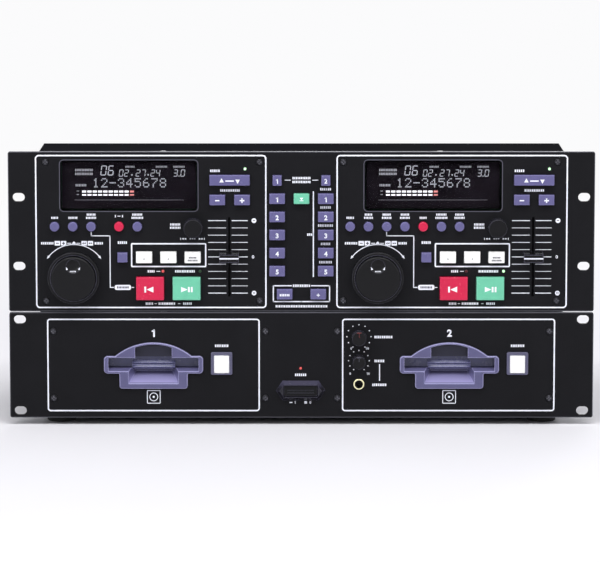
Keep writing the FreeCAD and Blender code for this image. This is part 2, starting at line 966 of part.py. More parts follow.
def shuttle_ring(deck):
    """The sprung outer ring: a floor that runs on the neck and a rounded wall."""
    x = deck_centre(deck) + jog_x
    z = control_z + jog_z
    back = -seat_gap
    front = -(seat_gap + ring_height)
    wall = soften_front(disc(x, z, ring_radius, front, back), front, ring_edge)
    inside = disc(x, z, ring_radius - ring_wall, front - 1, back - ring_floor)
    bore = disc(x, z, jog_neck_radius + running_gap, front - 1, back + 1)
    return wall.cut([inside, bore])


def jog_dial(deck):
    """The inner dial with its finger dimple above the middle, on a shaft in the neck."""
    x = deck_centre(deck) + jog_x
    z = control_z + jog_z
    radius = ring_radius - ring_wall - dial_gap
    back = -(seat_gap + ring_floor + dial_gap)
    face = soften_front(disc(x, z, radius, dial_front, back), dial_front, dial_edge)
    shaft = disc(x, z, jog_shaft_radius, back, board_front - jog_base_floor - seat_gap)
    ball = (dimple_radius ** 2 + dimple_depth ** 2) / (2 * dimple_depth)
    hollow = Part.makeSphere(ball, FreeCAD.Vector(x, dial_front + dimple_depth - ball, z + dimple_rise))
    return join([face, shaft]).cut(hollow)


def select_plunger(deck):
    """The shaft under the select knob, which slides in its encoder."""
    x = deck_centre(deck) + select_x
    z = control_z + select_z
    front = -(select_stand_off + select_height - plunger_end)
    back = board_front - plunger_travel - seat_gap
    return disc(x, z, plunger_radius, front, back)


def fluted_knob(x, z, radius, front, back):
    """A turned knob with a softened face and flutes around its skirt."""
    knob = soften_front(disc(x, z, radius, front, back), front, knob_edge)
    count = round(2 * math.pi * radius / flute_pitch)
    flutes = []
    for i in range(count):
        angle = 2 * math.pi * i / count
        flute_x = x + (radius + flute_radius / 2) * math.cos(angle)
        flute_z = z + (radius + flute_radius / 2) * math.sin(angle)
        flutes.append(disc(flute_x, flute_z, flute_radius, front + flute_stop, back + 1))
    return knob.cut(flutes)


def select_knob(deck):
    """The select knob with a blind bore for its plunger."""
    x = deck_centre(deck) + select_x
    z = control_z + select_z
    front = -(select_stand_off + select_height)
    knob = fluted_knob(x, z, select_radius, front, -select_stand_off)
    return knob.cut(disc(x, z, plunger_radius + running_gap, front + plunger_end - running_gap, 0))


def level_knob(z, radius):
    """A level knob on the shaft that turns in its potentiometer."""
    height = drive_z + z
    front = -(level_knob_stand_off + level_knob_height)
    knob = fluted_knob(level_x, height, radius, front, -level_knob_stand_off)
    shaft = disc(level_x, height, level_shaft_radius, -level_knob_stand_off,
                 front_board_setback - pot_floor - seat_gap)
    return join([knob, shaft])


def bezel_outline(x, margin, y_low, y_high):
    """The outline of a slot bezel: wings, an arch above and a squared foot below."""
    wing = slot_half_width + bezel_border + margin
    top = slot_z + slot_top_z + bezel_wing_top + margin
    bottom = slot_z + slot_bottom_z - bezel_wing_bottom - margin
    foot = bezel_foot_half_width + margin
    foot_bottom = slot_z + slot_bottom_z - bezel_foot_drop - margin
    arch = bezel_arch_half_width + margin
    crown = top + bezel_arch_rise

    def at(across, z):
        return FreeCAD.Vector(x + across, y_low, z)

    corners = [at(arch, top), at(wing, top), at(wing, bottom), at(foot, bottom), at(foot, foot_bottom),
               at(-foot, foot_bottom), at(-foot, bottom), at(-wing, bottom), at(-wing, top), at(-arch, top)]
    edges = [Part.LineSegment(a, b).toShape() for a, b in zip(corners, corners[1:])]
    edges.append(Part.Arc(at(-arch, top), at(0, crown), at(arch, top)).toShape())
    solid = Part.Face(Part.Wire(edges)).extrude(FreeCAD.Vector(0, y_high - y_low, 0))
    rounds = [(wing, top, bezel_wing_corner + margin), (wing, bottom, bezel_wing_corner + margin),
              (foot, foot_bottom, bezel_foot_corner + margin), (foot, bottom, bezel_joint_corner - margin)]
    for across, z, radius in rounds:
        solid = solid.makeFillet(radius, edges_through(solid, x, across, z))
    return solid


def edges_through(solid, x, across, z):
    """The two edges that run to the rear at this height, one on each side of x."""
    found = []
    for edge in solid.Edges:
        bounds = edge.BoundBox
        level = abs(bounds.ZMin - z) < 1e-6 and abs(bounds.ZMax - z) < 1e-6
        if level and abs(abs(bounds.XMin - x) - across) < 1e-6 and abs(bounds.XMax - bounds.XMin) < 1e-6:
            found.append(edge)
    return found


def door_front():
    """Depth of the flat of the door."""
    return thumb_depth - bezel_proud + housing_wall / 2 + door_setback


def door_pin_place():
    """Depth and height of the hinge line of a slot door."""
    return door_front() + door_thickness / 2, slot_z + slot_top_z + door_pin_rise


def door_sweep():
    """The distance from the hinge line to the far corner of the door."""
    drop = slot_top_z + door_pin_rise - slot_bottom_z + door_bulge_bottom
    return math.hypot(drop, door_bulge_depth + door_thickness / 2)


def housing_back():
    """Where the housing of a bezel ends and the disc loader begins."""
    return door_pin_place()[0] + door_sweep() + pocket_gap


def slot_bezel(deck):
    """The moulded bezel with its housing behind the panel, in which the door swings."""
    x = slot_centre(deck)
    low = slot_z + slot_bottom_z
    high = slot_z + slot_top_z
    pin_y, pin_z = door_pin_place()
    back = housing_back()
    pocket_half = slot_half_width + pocket_gap
    pocket_top = pin_z + door_pin_radius + pocket_gap
    inner_front = pin_y - door_thickness / 2 - pocket_gap
    face = soften_front(bezel_outline(x, 0, -bezel_proud, panel_thickness), -bezel_proud, bezel_edge)
    flange = box(x - pocket_half - housing_wall, x + pocket_half + housing_wall, panel_thickness,
                 panel_thickness + bezel_flange, slot_z + slot_bottom_z - bezel_foot_drop,
                 pocket_top + housing_wall)
    housing = box(x - pocket_half - housing_wall, x + pocket_half + housing_wall, panel_thickness, back,
                  low - housing_wall, pocket_top + housing_wall)
    foot = box(x - bezel_foot_half_width, x + bezel_foot_half_width, panel_thickness,
               finger_depth - bezel_proud + housing_wall / 2, low - bezel_foot_drop, low)
    mouth = box(x - slot_half_width, x + slot_half_width, -bezel_proud - 1, inner_front + 1, low, high)
    pocket = box(x - pocket_half, x + pocket_half, inner_front, back + 1, low, pocket_top)
    thumb = thumb_recess(x, high)
    finger = finger_recess(x, low)
    slope = lead_in_wedge(x, low)
    bulge_way = box(x - door_bulge_half_width - pocket_gap, x + door_bulge_half_width + pocket_gap,
                    inner_front - door_bulge_depth - 1, inner_front + 1,
                    low - door_bulge_bottom - pocket_gap, high)
    pin_end = pocket_half + door_pin_reach + seat_gap
    pins = crosswise(x - pin_end, x + pin_end, pin_y, pin_z, door_pin_radius + running_gap)
    cuts = [mouth, pocket, thumb, finger, slope, bulge_way, door_trough(x, low), pins]
    return join([face, flange, housing, foot]).cut(cuts)


def door_trough(x, low):
    """The hollow in the housing's floor through which the door's bulge swings."""
    half = door_bulge_half_width + pocket_gap
    pin_y, pin_z = door_pin_place()
    swept = crosswise(x - half, x + half, pin_y, pin_z, door_sweep() + pocket_gap)
    below = box(x - half, x + half, door_front() - pocket_gap, housing_back(), low - housing_wall, low)
    return swept.common(below)


def thumb_recess(x, high):
    """The deep recess above the slot, with a curved top under the arch."""
    back = thumb_depth - bezel_proud
    crown = high + bezel_wing_top + bezel_arch_rise
    under_arch = bezel_outline(x, -thumb_rim, -bezel_proud - 1, back)
    frame = box(x - thumb_half_width, x + thumb_half_width, -bezel_proud - 1, back, slot_z, crown)
    return under_arch.common(frame)


def finger_recess(x, low):
    """The recess below the slot: a floor that rises to the rear between slanting cheeks."""
    floor = low - bezel_foot_drop + finger_rim
    front_y = -bezel_proud
    back_y = finger_depth - bezel_proud
    front = [(x - finger_front_half_width, floor), (x + finger_front_half_width, floor),
             (x + finger_front_half_width, low + 1), (x - finger_front_half_width, low + 1)]
    back = [(x - finger_back_half_width, floor + finger_rise),
            (x + finger_back_half_width, floor + finger_rise),
            (x + finger_back_half_width, low + 1), (x - finger_back_half_width, low + 1)]
    slope = loft(front, back, front_y, back_y)
    mouth = prism(front, front_y - 1, front_y)
    return join([slope, mouth])


def lead_in_wedge(x, low):
    """The slanting lower lip that guides a disc into the slot."""
    profile = [(-bezel_proud - 1, low + 0.5), (-bezel_proud - 1, low - lead_in),
               (-bezel_proud, low - lead_in), (panel_thickness, low), (panel_thickness, low + 0.5)]
    return side_prism(profile, x - slot_half_width, x + slot_half_width)


def slot_door(deck):
    """The flap behind the slot: a flat wing, a ribbed bulge in the middle and two hinge pins."""
    x = slot_centre(deck)
    low = slot_z + slot_bottom_z
    pin_y, pin_z = door_pin_place()
    front = door_front()
    back = front + door_thickness
    half = slot_half_width - door_side_gap
    flap = box(x - half, x + half, front, back, low + pocket_gap, pin_z)
    top = crosswise(x - half, x + half, pin_y, pin_z, door_pin_radius)
    pins = crosswise(x - half - door_pin_reach, x + half + door_pin_reach, pin_y, pin_z, door_pin_radius)
    bulge_low = low - door_bulge_bottom
    bulge_high = slot_z + door_bulge_top
    rib = (bulge_high - bulge_low) / 2
    ribs = []
    for level in (0, 1):
        z_low = bulge_low + level * rib
        slope = front - door_bulge_depth + door_rib_slope
        profile = [(front, z_low), (slope, z_low + door_rib_step),
                   (front - door_bulge_depth, z_low + rib / 2),
                   (slope, z_low + rib - door_rib_step), (front, z_low + rib)]
        ribs.append(side_prism(profile, x - door_bulge_half_width, x + door_bulge_half_width))
    core = box(x - door_bulge_half_width, x + door_bulge_half_width,
               front - door_bulge_depth + door_rib_slope, front,
               bulge_low + door_rib_step, bulge_high - door_rib_step)
    return join([flap, top, pins, core] + ribs)


def loading_frame(deck):
    """The disc loader: a flat cage open to the front, on four legs."""
    x = slot_centre(deck)
    front = housing_back()
    half = disc_width / 2 + disc_play
    back = front + disc_depth + disc_play
    low = slot_z + slot_bottom_z
    high = low + disc_clear_height()
    outer_half = half + loader_wall
    rear = back + loader_back_wall
    cage = box(x - outer_half, x + outer_half, front, rear, low - loader_floor, high + loader_wall)
    disc_room = box(x - half, x + half, front - 1, back, low, high)
    middle = (front + back) / 2
    well = box(x - well_width / 2, x + well_width / 2, middle - well_depth / 2, middle + well_depth / 2,
               low - loader_floor - 1, low + 1)
    legs = []
    for side in (-1, 1):
        for y in (front, rear - loader_leg):
            edge = x + side * (outer_half - loader_leg / 2)
            legs.append(box(edge - loader_leg / 2, edge + loader_leg / 2, y, y + loader_leg,
                            drive_case_bottom + sheet, low - loader_floor))
    return join([cage] + legs).cut([disc_room, well])


def disc_clear_height():
    """Height of the room for a disc, under the open door."""
    return slot_top_z - slot_bottom_z - door_thickness - disc_play


def optical_decks():
    """Under each loader: a base plate with the spindle motor, two guide rods and the pickup."""
    solids = []
    for deck in (1, 2):
        x = slot_centre(deck)
        front = housing_back()
        middle = front + (disc_depth + disc_play) / 2
        top = slot_z + slot_bottom_z - loader_floor
        low = top - deck_plate_thickness
        half = disc_width / 2 + disc_play
        plate = box(x - half, x + half, front + loader_leg + fit_gap, front + disc_depth - loader_leg,
                    low, top)
        motor = upright(x, middle - spindle_setback, spindle_radius, low, top + loader_floor - seat_gap)
        pickup_y = middle + pickup_setback
        rods = []
        for side in (-1, 1):
            y = pickup_y + side * (pickup_length / 2 - guide_rod_radius)
            rod_half = well_width / 2 - guide_rod_radius
            rods.append(crosswise(x - rod_half, x + rod_half, y, top + guide_rod_radius, guide_rod_radius))
        pickup = box(x - pickup_width / 2, x + pickup_width / 2, pickup_y - pickup_length / 2,
                     pickup_y + pickup_length / 2, top, top + loader_floor - seat_gap)
        solids.append(join([plate, motor, pickup] + rods))
    return group(solids)


def eject_centre(deck):
    return slot_centre(deck) + eject_x, slot_z + eject_z


def eject_bezel_outline(deck, margin, y_low, y_high):
    x, z = eject_centre(deck)
    width = eject_bezel_width + 2 * margin
    height = eject_bezel_height + 2 * margin
    return rounded(x, z, width, height, eject_bezel_corner, y_low, y_high)


def eject_key(deck):
    x, z = eject_centre(deck)
    return flat_key(x, z - eject_key_drop, eject_key_width, eject_key_height, eject_key_proud)


def eject_bezel(deck):
    """A frame on the panel around the eject key, with a sleeve through the panel."""
    face = eject_bezel_outline(deck, 0, -eject_bezel_proud, 0)
    face = soften_front(face, -eject_bezel_proud, eject_bezel_edge)
    sleeve = eject_bezel_outline(deck, -eject_bezel_lip - fit_gap, 0, panel_thickness + sleeve_reach)
    hole = key_outline(eject_key(deck), key_gap, -eject_bezel_proud - 1, panel_thickness + sleeve_reach + 1)
    return join([face, sleeve]).cut(hole)


def eject_button(deck):
    """The eject key with a flange behind its bezel and a stem to its switch."""
    key = eject_key(deck)
    flange_front = panel_thickness + sleeve_reach + seat_gap
    flange_back = flange_front + key_flange_thickness
    cap = soften_front(key_outline(key, 0, -key["proud"], flange_front), -key["proud"], key_edge)
    flange = key_outline(key, key_flange, flange_front, flange_back)
    stem_end = eject_switch_front() - eject_travel - seat_gap
    stem = disc(key["x"], key["z"], key_stem_radius, flange_back, stem_end)
    return join([cap, flange, stem])


def eject_switch_front():
    return front_board_setback - switch_height


def power_bezel_points(margin):
    """A long hexagon with its points at the sides."""
    x = power_x
    z = drive_z + power_z
    tip = power_bezel_width / 2 + margin
    flat = power_bezel_flat / 2 + margin / 2
    half = power_bezel_height / 2 + margin
    return [(x - tip, z), (x - flat, z - half), (x + flat, z - half), (x + tip, z), (x + flat, z + half),
            (x - flat, z + half)]


def power_bezel_outline(margin, y_low, y_high):
    return prism(power_bezel_points(margin), y_low, y_high)


def power_key():
    return flat_key(power_x, drive_z + power_z, power_key_width, power_key_height, power_key_proud)


def power_bezel():
    """A hexagonal collar around the mains key, with sloping sides."""
    collar = loft(power_bezel_points(-power_bezel_slope), power_bezel_points(0), -power_bezel_proud, 0)
    sleeve = power_bezel_outline(-power_bezel_lip, 0, panel_thickness + sleeve_reach)
    hole = key_outline(power_key(), key_gap, -power_bezel_proud - 1, panel_thickness + sleeve_reach + 1)
    return join([collar, sleeve]).cut(hole)


def power_button():
    key = power_key()
    flange_front = panel_thickness + sleeve_reach + seat_gap
    flange_back = flange_front + key_flange_thickness
    cap = soften_front(key_outline(key, 0, -key["proud"], flange_front), -key["proud"], key_edge)
    flange = key_outline(key, key_flange, flange_front, flange_back)
    stem_back = front_board_setback - switch_height - power_travel - seat_gap
    stem = disc(key["x"], key["z"], key_stem_radius, flange_back, stem_back)
    return join([cap, flange, stem])


def headphone_jack():
    """A ring before the panel, a sleeve through it and the body behind it."""
    z = drive_z + jack_z
    ring = disc(level_x, z, jack_ring_radius, -jack_ring_proud, 0)
    ring = soften_front(ring, -jack_ring_proud, jack_ring_edge)
    sleeve = disc(level_x, z, jack_sleeve_radius, 0, panel_thickness)
    body = block(level_x, z, jack_body_size, jack_body_size,
                 panel_thickness, panel_thickness + jack_body_depth)
    bore = disc(level_x, z, jack_hole_radius, -jack_ring_proud - 1,
                panel_thickness + jack_body_depth - jack_body_floor)
    return join([ring, sleeve, body]).cut(bore)


def drive_boards():
    """The front board, the main board on posts, and the transformer."""
    z_low = drive_z - front_board_half_height
    z_high = drive_z + front_board_half_height
    back = front_board_setback + board_thickness
    plate = box(front_board_left, front_board_right, front_board_setback, back, z_low, z_high)
    jack_way = block(level_x, drive_z + jack_z, jack_body_size + 2 * seat_gap, jack_body_size + 2 * seat_gap,
                     front_board_setback - 1, back + 1)
    solids = [plate.cut(jack_way)]
    for z in (record_level_z, phones_level_z):
        solids.append(block(level_x, drive_z + z, pot_size, pot_size, front_board_setback - pot_height,
                            front_board_setback))
    switch_front = front_board_setback - switch_height
    solids.append(block(power_x, drive_z + power_z, power_key_width, power_key_height, switch_front,
                        front_board_setback))
    for x in (front_board_left + board_post_inset, front_board_right - board_post_inset):
        for z in (z_low + board_post_inset, z_high - board_post_inset):
            solids.append(disc(x, z, board_post_radius, panel_thickness, front_board_setback))
    front_board = join(solids)
    bores = [disc(level_x, drive_z + z, level_shaft_radius + running_gap, 0, front_board_setback - pot_floor)
             for z in (record_level_z, phones_level_z)]
    front_board = front_board.cut(bores)
    return group([front_board, main_board(), transformer()] + [eject_switch(deck) for deck in (1, 2)])


def eject_switch(deck):
    """A switch on its own small board behind an eject key, on two posts from the panel."""
    x, z = eject_centre(deck)
    z -= eject_key_drop
    half = eject_key_height / 2 + key_flange + board_post_radius + 1
    board = block(x, z, 2 * board_post_radius + 2, 2 * half + 2 * board_post_radius,
                  front_board_setback, front_board_setback + board_thickness)
    switch = block(x, z, switch_size, switch_size, eject_switch_front(), front_board_setback)
    posts = [disc(x, z + side * half, board_post_radius, panel_thickness, front_board_setback)
             for side in (-1, 1)]
    return join([board, switch] + posts)


def main_board():
    """The main board on six posts from the chassis, with its large chips."""
    floor = drive_case_bottom + sheet
    rear = drive_rear - sheet - main_board_from_rear
    front = rear - main_board_depth
    half = main_board_width / 2
    low = floor + main_board_rise
    top = low + board_thickness
    solids = [box(-half, half, front, rear, low, top)]
    for x in (-half + board_post_inset, 0, half - board_post_inset):
        for y in (front + board_post_inset, rear - board_post_inset):
            solids.append(upright(x, y, board_post_radius, floor, low))
    for i in range(chip_count):
        x = chip_first_x + chip_pitch * i
        y = front + chip_from_front
        solids.append(box(x - chip_size / 2, x + chip_size / 2, y, y + chip_size, top, top + chip_height))
    return join(solids)


def transformer():
    """A laminated core around its coil, standing on the chassis."""
    floor = drive_case_bottom + sheet
    half = transformer_width / 2
    y = transformer_setback
    rear = y + transformer_depth
    yoke = transformer_yoke
    core = box(-half, half, y, rear, floor + yoke, floor + transformer_height - yoke)
    coil = box(-half + 2 * yoke, half - 2 * yoke, y + yoke / 2, rear - yoke / 2,
               floor, floor + transformer_height)
    return join([core, coil])


def phono_places():
    """Two groups of in and out jacks on the rear of the drive unit, in two rows."""
    places = []
    for i in range(phono_count):
        for level in (-1, 1):
            places.append((phono_first_x + i * phono_pitch, drive_z + phono_z + level * phono_row_gap / 2))
    return places


def drive_link_places():
    return [(side * link_socket_x, drive_z + drive_link_z) for side in (-1, 1)]


def control_link_places():
    return [(side * link_socket_x, control_z + control_link_z) for side in (-1, 1)]


def link_socket(x, z, rear):
    """A round socket for the lead between the two units."""
    inside = rear - sheet
    lip = rear + link_socket_lip
    barrel = disc(x, z, link_socket_radius, inside, lip)
    shell = disc(x, z, link_socket_radius + link_shell_wall, inside - link_socket_depth, inside)
    well = disc(x, z, link_socket_bore, lip - link_socket_well, lip + 1)
    return join([barrel, shell]).cut(well)


def phono_block():
    """The jack block inside the rear wall with its barrels outside."""
    places = phono_places()
    xs = [x for x, z in places]
    zs = [z for x, z in places]
    inside = drive_rear - sheet
    solids = [box(min(xs) - phono_block_margin, max(xs) + phono_block_margin,
                  inside - phono_block_depth, inside,
                  min(zs) - phono_block_margin, max(zs) + phono_block_margin)]
    tip = drive_rear + jack_barrel_length
    solids += [disc(x, z, jack_barrel_radius, inside, tip) for x, z in places]
    bores = [disc(x, z, jack_barrel_bore, tip - jack_barrel_bore_depth, tip + 1) for x, z in places]
    return join(solids).cut(bores)


def power_inlet():
    """The mains inlet: a flange outside the rear wall and a well for the plug."""
    z = drive_z + inlet_z
    inside = drive_rear - sheet
    width = inlet_width + 2 * inlet_flange
    height = inlet_height + 2 * inlet_flange
    flange = block(inlet_x, z, width, height, drive_rear, drive_rear + inlet_lip)
    shell = block(inlet_x, z, inlet_width, inlet_height, inside - inlet_well, drive_rear)
    well = block(inlet_x, z, inlet_width - 2 * inlet_wall, inlet_height - 2 * inlet_wall,
                 drive_rear + inlet_lip - inlet_well, drive_rear + inlet_lip + 1)
    body = join([flange, shell]).cut(well)
    pins = []
    for side in (-1, 0, 1):
        up = inlet_pin_rise if side == 0 else -inlet_pin_rise
        pins.append(block(inlet_x + side * inlet_pin_pitch, z + up, inlet_pin_width, inlet_pin_height,
                          drive_rear + inlet_lip - inlet_well, drive_rear - inlet_pin_setback))
    return join([body] + pins)


def rear_sockets():
    solids = [phono_block(), power_inlet()]
    solids += [link_socket(x, z, drive_rear) for x, z in drive_link_places()]
    solids += [link_socket(x, z, control_rear) for x, z in control_link_places()]
    return group(solids)


def all_nodes():
    """Every node with its name."""
    nodes = {
        "drive_front_panel": drive_front_panel(),
        "drive_chassis": drive_chassis(),
        "drive_top_cover": lid(drive_case_top, drive_rear).cut(vent_slots()),
        "control_front_panel": control_front_panel(),
        "control_case": control_case(),
        "control_top_cover": lid(control_case_top, control_rear),
        "rubber_feet": rubber_feet(),
        "screws": screws(),
        "display_windows": display_windows(),
        "control_board": control_board(),
        "status_lamps": status_lamps(),
        "jog_and_fader_units": group(jog_bases() + pitch_fader_units()),
        "eject_bezels": group([eject_bezel(1), eject_bezel(2)]),
        "power_bezel": power_bezel(),
        "headphone_jack": headphone_jack(),
        "drive_boards": drive_boards(),
        "optical_decks": optical_decks(),
        "rear_sockets": rear_sockets(),
        "power_button": power_button(),
        "rec_level_knob": level_knob(record_level_z, record_level_radius),
        "phones_level_knob": level_knob(phones_level_z, phones_level_radius),
    }
    for deck in (1, 2):
        nodes[f"slot_bezel_{deck}"] = slot_bezel(deck)
        nodes[f"slot_door_{deck}"] = slot_door(deck)
        nodes[f"loading_frame_{deck}"] = loading_frame(deck)
        nodes[f"eject_button_{deck}"] = eject_button(deck)
        nodes[f"jog_dial_{deck}"] = jog_dial(deck)
        nodes[f"shuttle_ring_{deck}"] = shuttle_ring(deck)
        nodes[f"pitch_slider_{deck}"] = pitch_slider(deck)
        nodes[f"select_plunger_{deck}"] = select_plunger(deck)
        nodes[f"select_knob_{deck}"] = select_knob(deck)
    for name, keys in control_keys().items():
        nodes[name] = group([key_solid(key) for key in keys])
    return nodes


for name, shape in all_nodes().items():
    shape.translate(FreeCAD.Vector(0, origin_shift, 0))
    shape.exportStep(os.path.join("parts", name + ".step"))
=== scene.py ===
"""Looks of the twin minidisc recorder: paint, plastics, printed lines, displays, lamps, light and camera.

Printed shapes are drawn in millimetres as seen from the front, across and up, and then laid on the
face that carries them.
"""

import math

import bmesh
import bpy
from mathutils import Matrix, Vector


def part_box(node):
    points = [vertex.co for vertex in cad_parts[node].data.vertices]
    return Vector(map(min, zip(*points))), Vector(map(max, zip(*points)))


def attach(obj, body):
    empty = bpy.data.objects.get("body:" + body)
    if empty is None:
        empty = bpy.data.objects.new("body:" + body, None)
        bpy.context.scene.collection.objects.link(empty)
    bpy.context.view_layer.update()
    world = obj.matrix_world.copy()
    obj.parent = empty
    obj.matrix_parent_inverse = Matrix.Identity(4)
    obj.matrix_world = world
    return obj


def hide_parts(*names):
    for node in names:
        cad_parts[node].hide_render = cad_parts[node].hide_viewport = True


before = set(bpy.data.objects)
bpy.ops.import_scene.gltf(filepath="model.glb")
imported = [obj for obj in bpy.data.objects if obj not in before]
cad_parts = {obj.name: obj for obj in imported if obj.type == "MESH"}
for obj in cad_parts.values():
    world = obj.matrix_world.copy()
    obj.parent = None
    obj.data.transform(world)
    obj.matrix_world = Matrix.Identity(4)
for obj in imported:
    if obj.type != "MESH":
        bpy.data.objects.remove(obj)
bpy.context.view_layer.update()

# A millimetre in metres. The other three are in millimetres.
MM = 0.001
PAINT_THICKNESS = 0.06
SIGN_THICKNESS = 0.05
FRAME_LINE = 1.15


def low(node):
    """The lowest corner of a node, in millimetres."""
    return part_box(node)[0] / MM


def high(node):
    """The highest corner of a node, in millimetres."""
    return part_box(node)[1] / MM


def middle(node):
    """The middle of a node, in millimetres."""
    return (low(node) + high(node)) / 2


# Places in millimetres. WINDOW_X to FADER_Z are from the middle of a deck, EJECT_X is from the middle of a
# slot, JACK_BORE is a radius, and the rest from SLOT_X on is from the middle of the drive unit's panel.

FACE = low("control_front_panel").y
CONTROL_Z = middle("control_front_panel").z
DRIVE_Z = middle("drive_front_panel").z
DECK_X = {1: -125.1, 2: 125.1}
WINDOW_X = -16.85
WINDOW_Z = 38.1
JOG_X = -62.3
JOG_Z = -37.3
FADER_X = 65.6
FADER_Z = -20.9
SLOT_X = 122.3
FINGER_FLOOR_TOP = -6.7
EJECT_X = 56.3
LEVEL_X = 47.5
RECORD_LEVEL_Z = 23.7
PHONES_LEVEL_Z = 3.6
JACK_BORE = 3.4
POWER_X = -0.7
POWER_LAMP_Z = -2.8
PHONO_X = -150.0
PHONO_Z = 5.0
PHONO_PITCH = 19.0
PHONO_ROW = 9.0

# Floor and camera, in metres; the sensor is in millimetres
FLOOR_REACH = 12.0
CAMERA_DISTANCE = 3.2
CAMERA_ELEVATION = math.radians(7.8)
PICTURE_WIDTH = 0.4948
SENSOR_WIDTH = 36.0


# Finishes

def linear(red, green, blue):
    """A colour as the eye reads it, from 0 to 255, made linear."""
    channels = []
    for value in (red, green, blue):
        share = value / 255
        channels.append(share / 12.92 if share <= 0.04045 else ((share + 0.055) / 1.055) ** 2.4)
    return (*channels, 1.0)


class Finish:
    """A node material that is built up step by step around one Principled shader."""

    def __init__(self, name, colour, roughness, metallic=0.0):
        self.material = bpy.data.materials.new(name)
        self.material.use_nodes = True
        self.nodes = self.material.node_tree.nodes
        self.links = self.material.node_tree.links
        self.shader = self.nodes["Principled BSDF"]
        self.shader.inputs["Metallic"].default_value = metallic
        self.colour = colour
        self.roughness = roughness
        coordinates = self.nodes.new("ShaderNodeTexCoord")
        self.place = self.nodes.new("ShaderNodeMapping")
        self.links.new(coordinates.outputs["Object"], self.place.inputs["Vector"])
        self.tone = colour

    def noise(self, size, detail=3.0, stretch=(1.0, 1.0, 1.0)):
        """Noise whose grains are about this many millimetres across."""
        texture = self.nodes.new("ShaderNodeTexNoise")
        texture.inputs["Scale"].default_value = 1 / (size * MM)
        texture.inputs["Detail"].default_value = detail
        source = self.place.outputs["Vector"]
        if stretch != (1.0, 1.0, 1.0):
            drawn = self.nodes.new("ShaderNodeMapping")
            drawn.inputs["Scale"].default_value = stretch
            self.links.new(source, drawn.inputs["Vector"])
            source = drawn.outputs["Vector"]
        self.links.new(source, texture.inputs["Vector"])
        return texture.outputs["Fac"]

    def spread(self, value, low_in, high_in, low_out, high_out):
        """Maps a value from one range to another and keeps it there."""
        node = self.nodes.new("ShaderNodeMapRange")
        node.clamp = True
        for socket, number in zip(("From Min", "From Max", "To Min", "To Max"),
                                  (low_in, high_in, low_out, high_out)):
            node.inputs[socket].default_value = number
        self.links.new(value, node.inputs["Value"])
        return node.outputs["Result"]

    def blend(self, share, first, second):
        """Mixes two colours; either may be a socket or a plain colour."""
        node = self.nodes.new("ShaderNodeMix")
        node.data_type = "RGBA"
        self.links.new(share, node.inputs[0])
        for socket, colour in ((6, first), (7, second)):
            if isinstance(colour, tuple):
                node.inputs[socket].default_value = colour
            else:
                self.links.new(colour, node.inputs[socket])
        return node.outputs[2]

    def over(self, share, colour):
        """Lays a colour over the tone where the share is high."""
        self.tone = self.blend(share, self.tone, colour)
        return self

    def times(self, first, second):
        """The product of two values."""
        node = self.nodes.new("ShaderNodeMath")
        node.operation = "MULTIPLY"
        self.links.new(first, node.inputs[0])
        self.links.new(second, node.inputs[1])
        return node.outputs["Value"]

    def along(self, axis, start, end, low_out=0.0, high_out=1.0):
        """A value that changes between two places on an axis, in millimetres."""
        point = self.nodes.new("ShaderNodeSeparateXYZ")
        self.links.new(self.place.outputs["Vector"], point.inputs["Vector"])
        return self.spread(point.outputs[axis], start * MM, end * MM, low_out, high_out)

    def reach(self, vector):
        """The length of a vector."""
        node = self.nodes.new("ShaderNodeVectorMath")
        node.operation = "LENGTH"
        self.links.new(vector, node.inputs[0])
        return node.outputs["Value"]

    def thin_lines(self, scale, width, offset, turn=0.0):
        """Thin lines in a brick pattern, turned about X."""
        turned = self.nodes.new("ShaderNodeMapping")
        turned.inputs["Rotation"].default_value = (turn, 0.0, 0.0)
        self.links.new(self.place.outputs["Vector"], turned.inputs["Vector"])
        bricks = self.nodes.new("ShaderNodeTexBrick")
        bricks.offset = offset
        bricks.inputs["Scale"].default_value = scale
        bricks.inputs["Mortar Size"].default_value = width
        for socket, tone in (("Color1", 0.0), ("Color2", 0.0), ("Mortar", 1.0)):
            bricks.inputs[socket].default_value = (tone, tone, tone, 1.0)
        self.links.new(turned.outputs["Vector"], bricks.inputs["Vector"])
        return bricks.outputs["Color"]

    def patches(self, size):
        """A share that wanders between none and all."""
        return self.spread(self.noise(size), 0.3, 0.7, 0.0, 1.0)

    def mottle(self, size, amount):
        """Slight patches of lighter and darker colour."""
        share = self.patches(size)
        dark = tuple(channel * (1 - amount) for channel in self.colour[:3]) + (1.0,)
        pale = tuple(min(1.0, channel * (1 + amount)) for channel in self.colour[:3]) + (1.0,)
        self.tone = self.blend(share, dark, pale)
        return self

    def edges(self, reach, colour, amount, evenness=0.25):
        """A lighter tone where the surface turns sharply: rubbed paint on painted metal, and a painted
        highlight on the rounded rims of mouldings and screw heads.
        """
        rounded = self.nodes.new("ShaderNodeBevel")
        rounded.samples = 4
        rounded.inputs["Radius"].default_value = reach * MM
        surface = self.nodes.new("ShaderNodeNewGeometry")
        turn = self.nodes.new("ShaderNodeVectorMath")
        turn.operation = "DOT_PRODUCT"
        self.links.new(rounded.outputs["Normal"], turn.inputs[0])
        self.links.new(surface.outputs["Normal"], turn.inputs[1])
        edge = self.spread(turn.outputs["Value"], 0.99, 0.8, 0.0, amount)
        patch = self.spread(self.noise(2.5), 0.4, 0.65, evenness, 1.0)
        return self.over(self.times(edge, patch), colour)

    def grain(self, size, height, detail=2.0, stretch=(1.0, 1.0, 1.0)):
        """Fine relief, its height in millimetres."""
        bump = self.nodes.new("ShaderNodeBump")
        bump.inputs["Strength"].default_value = 0.6
        bump.inputs["Distance"].default_value = height * MM
        self.links.new(self.noise(size, detail, stretch), bump.inputs["Height"])
        self.links.new(bump.outputs["Normal"], self.shader.inputs["Normal"])
        return self

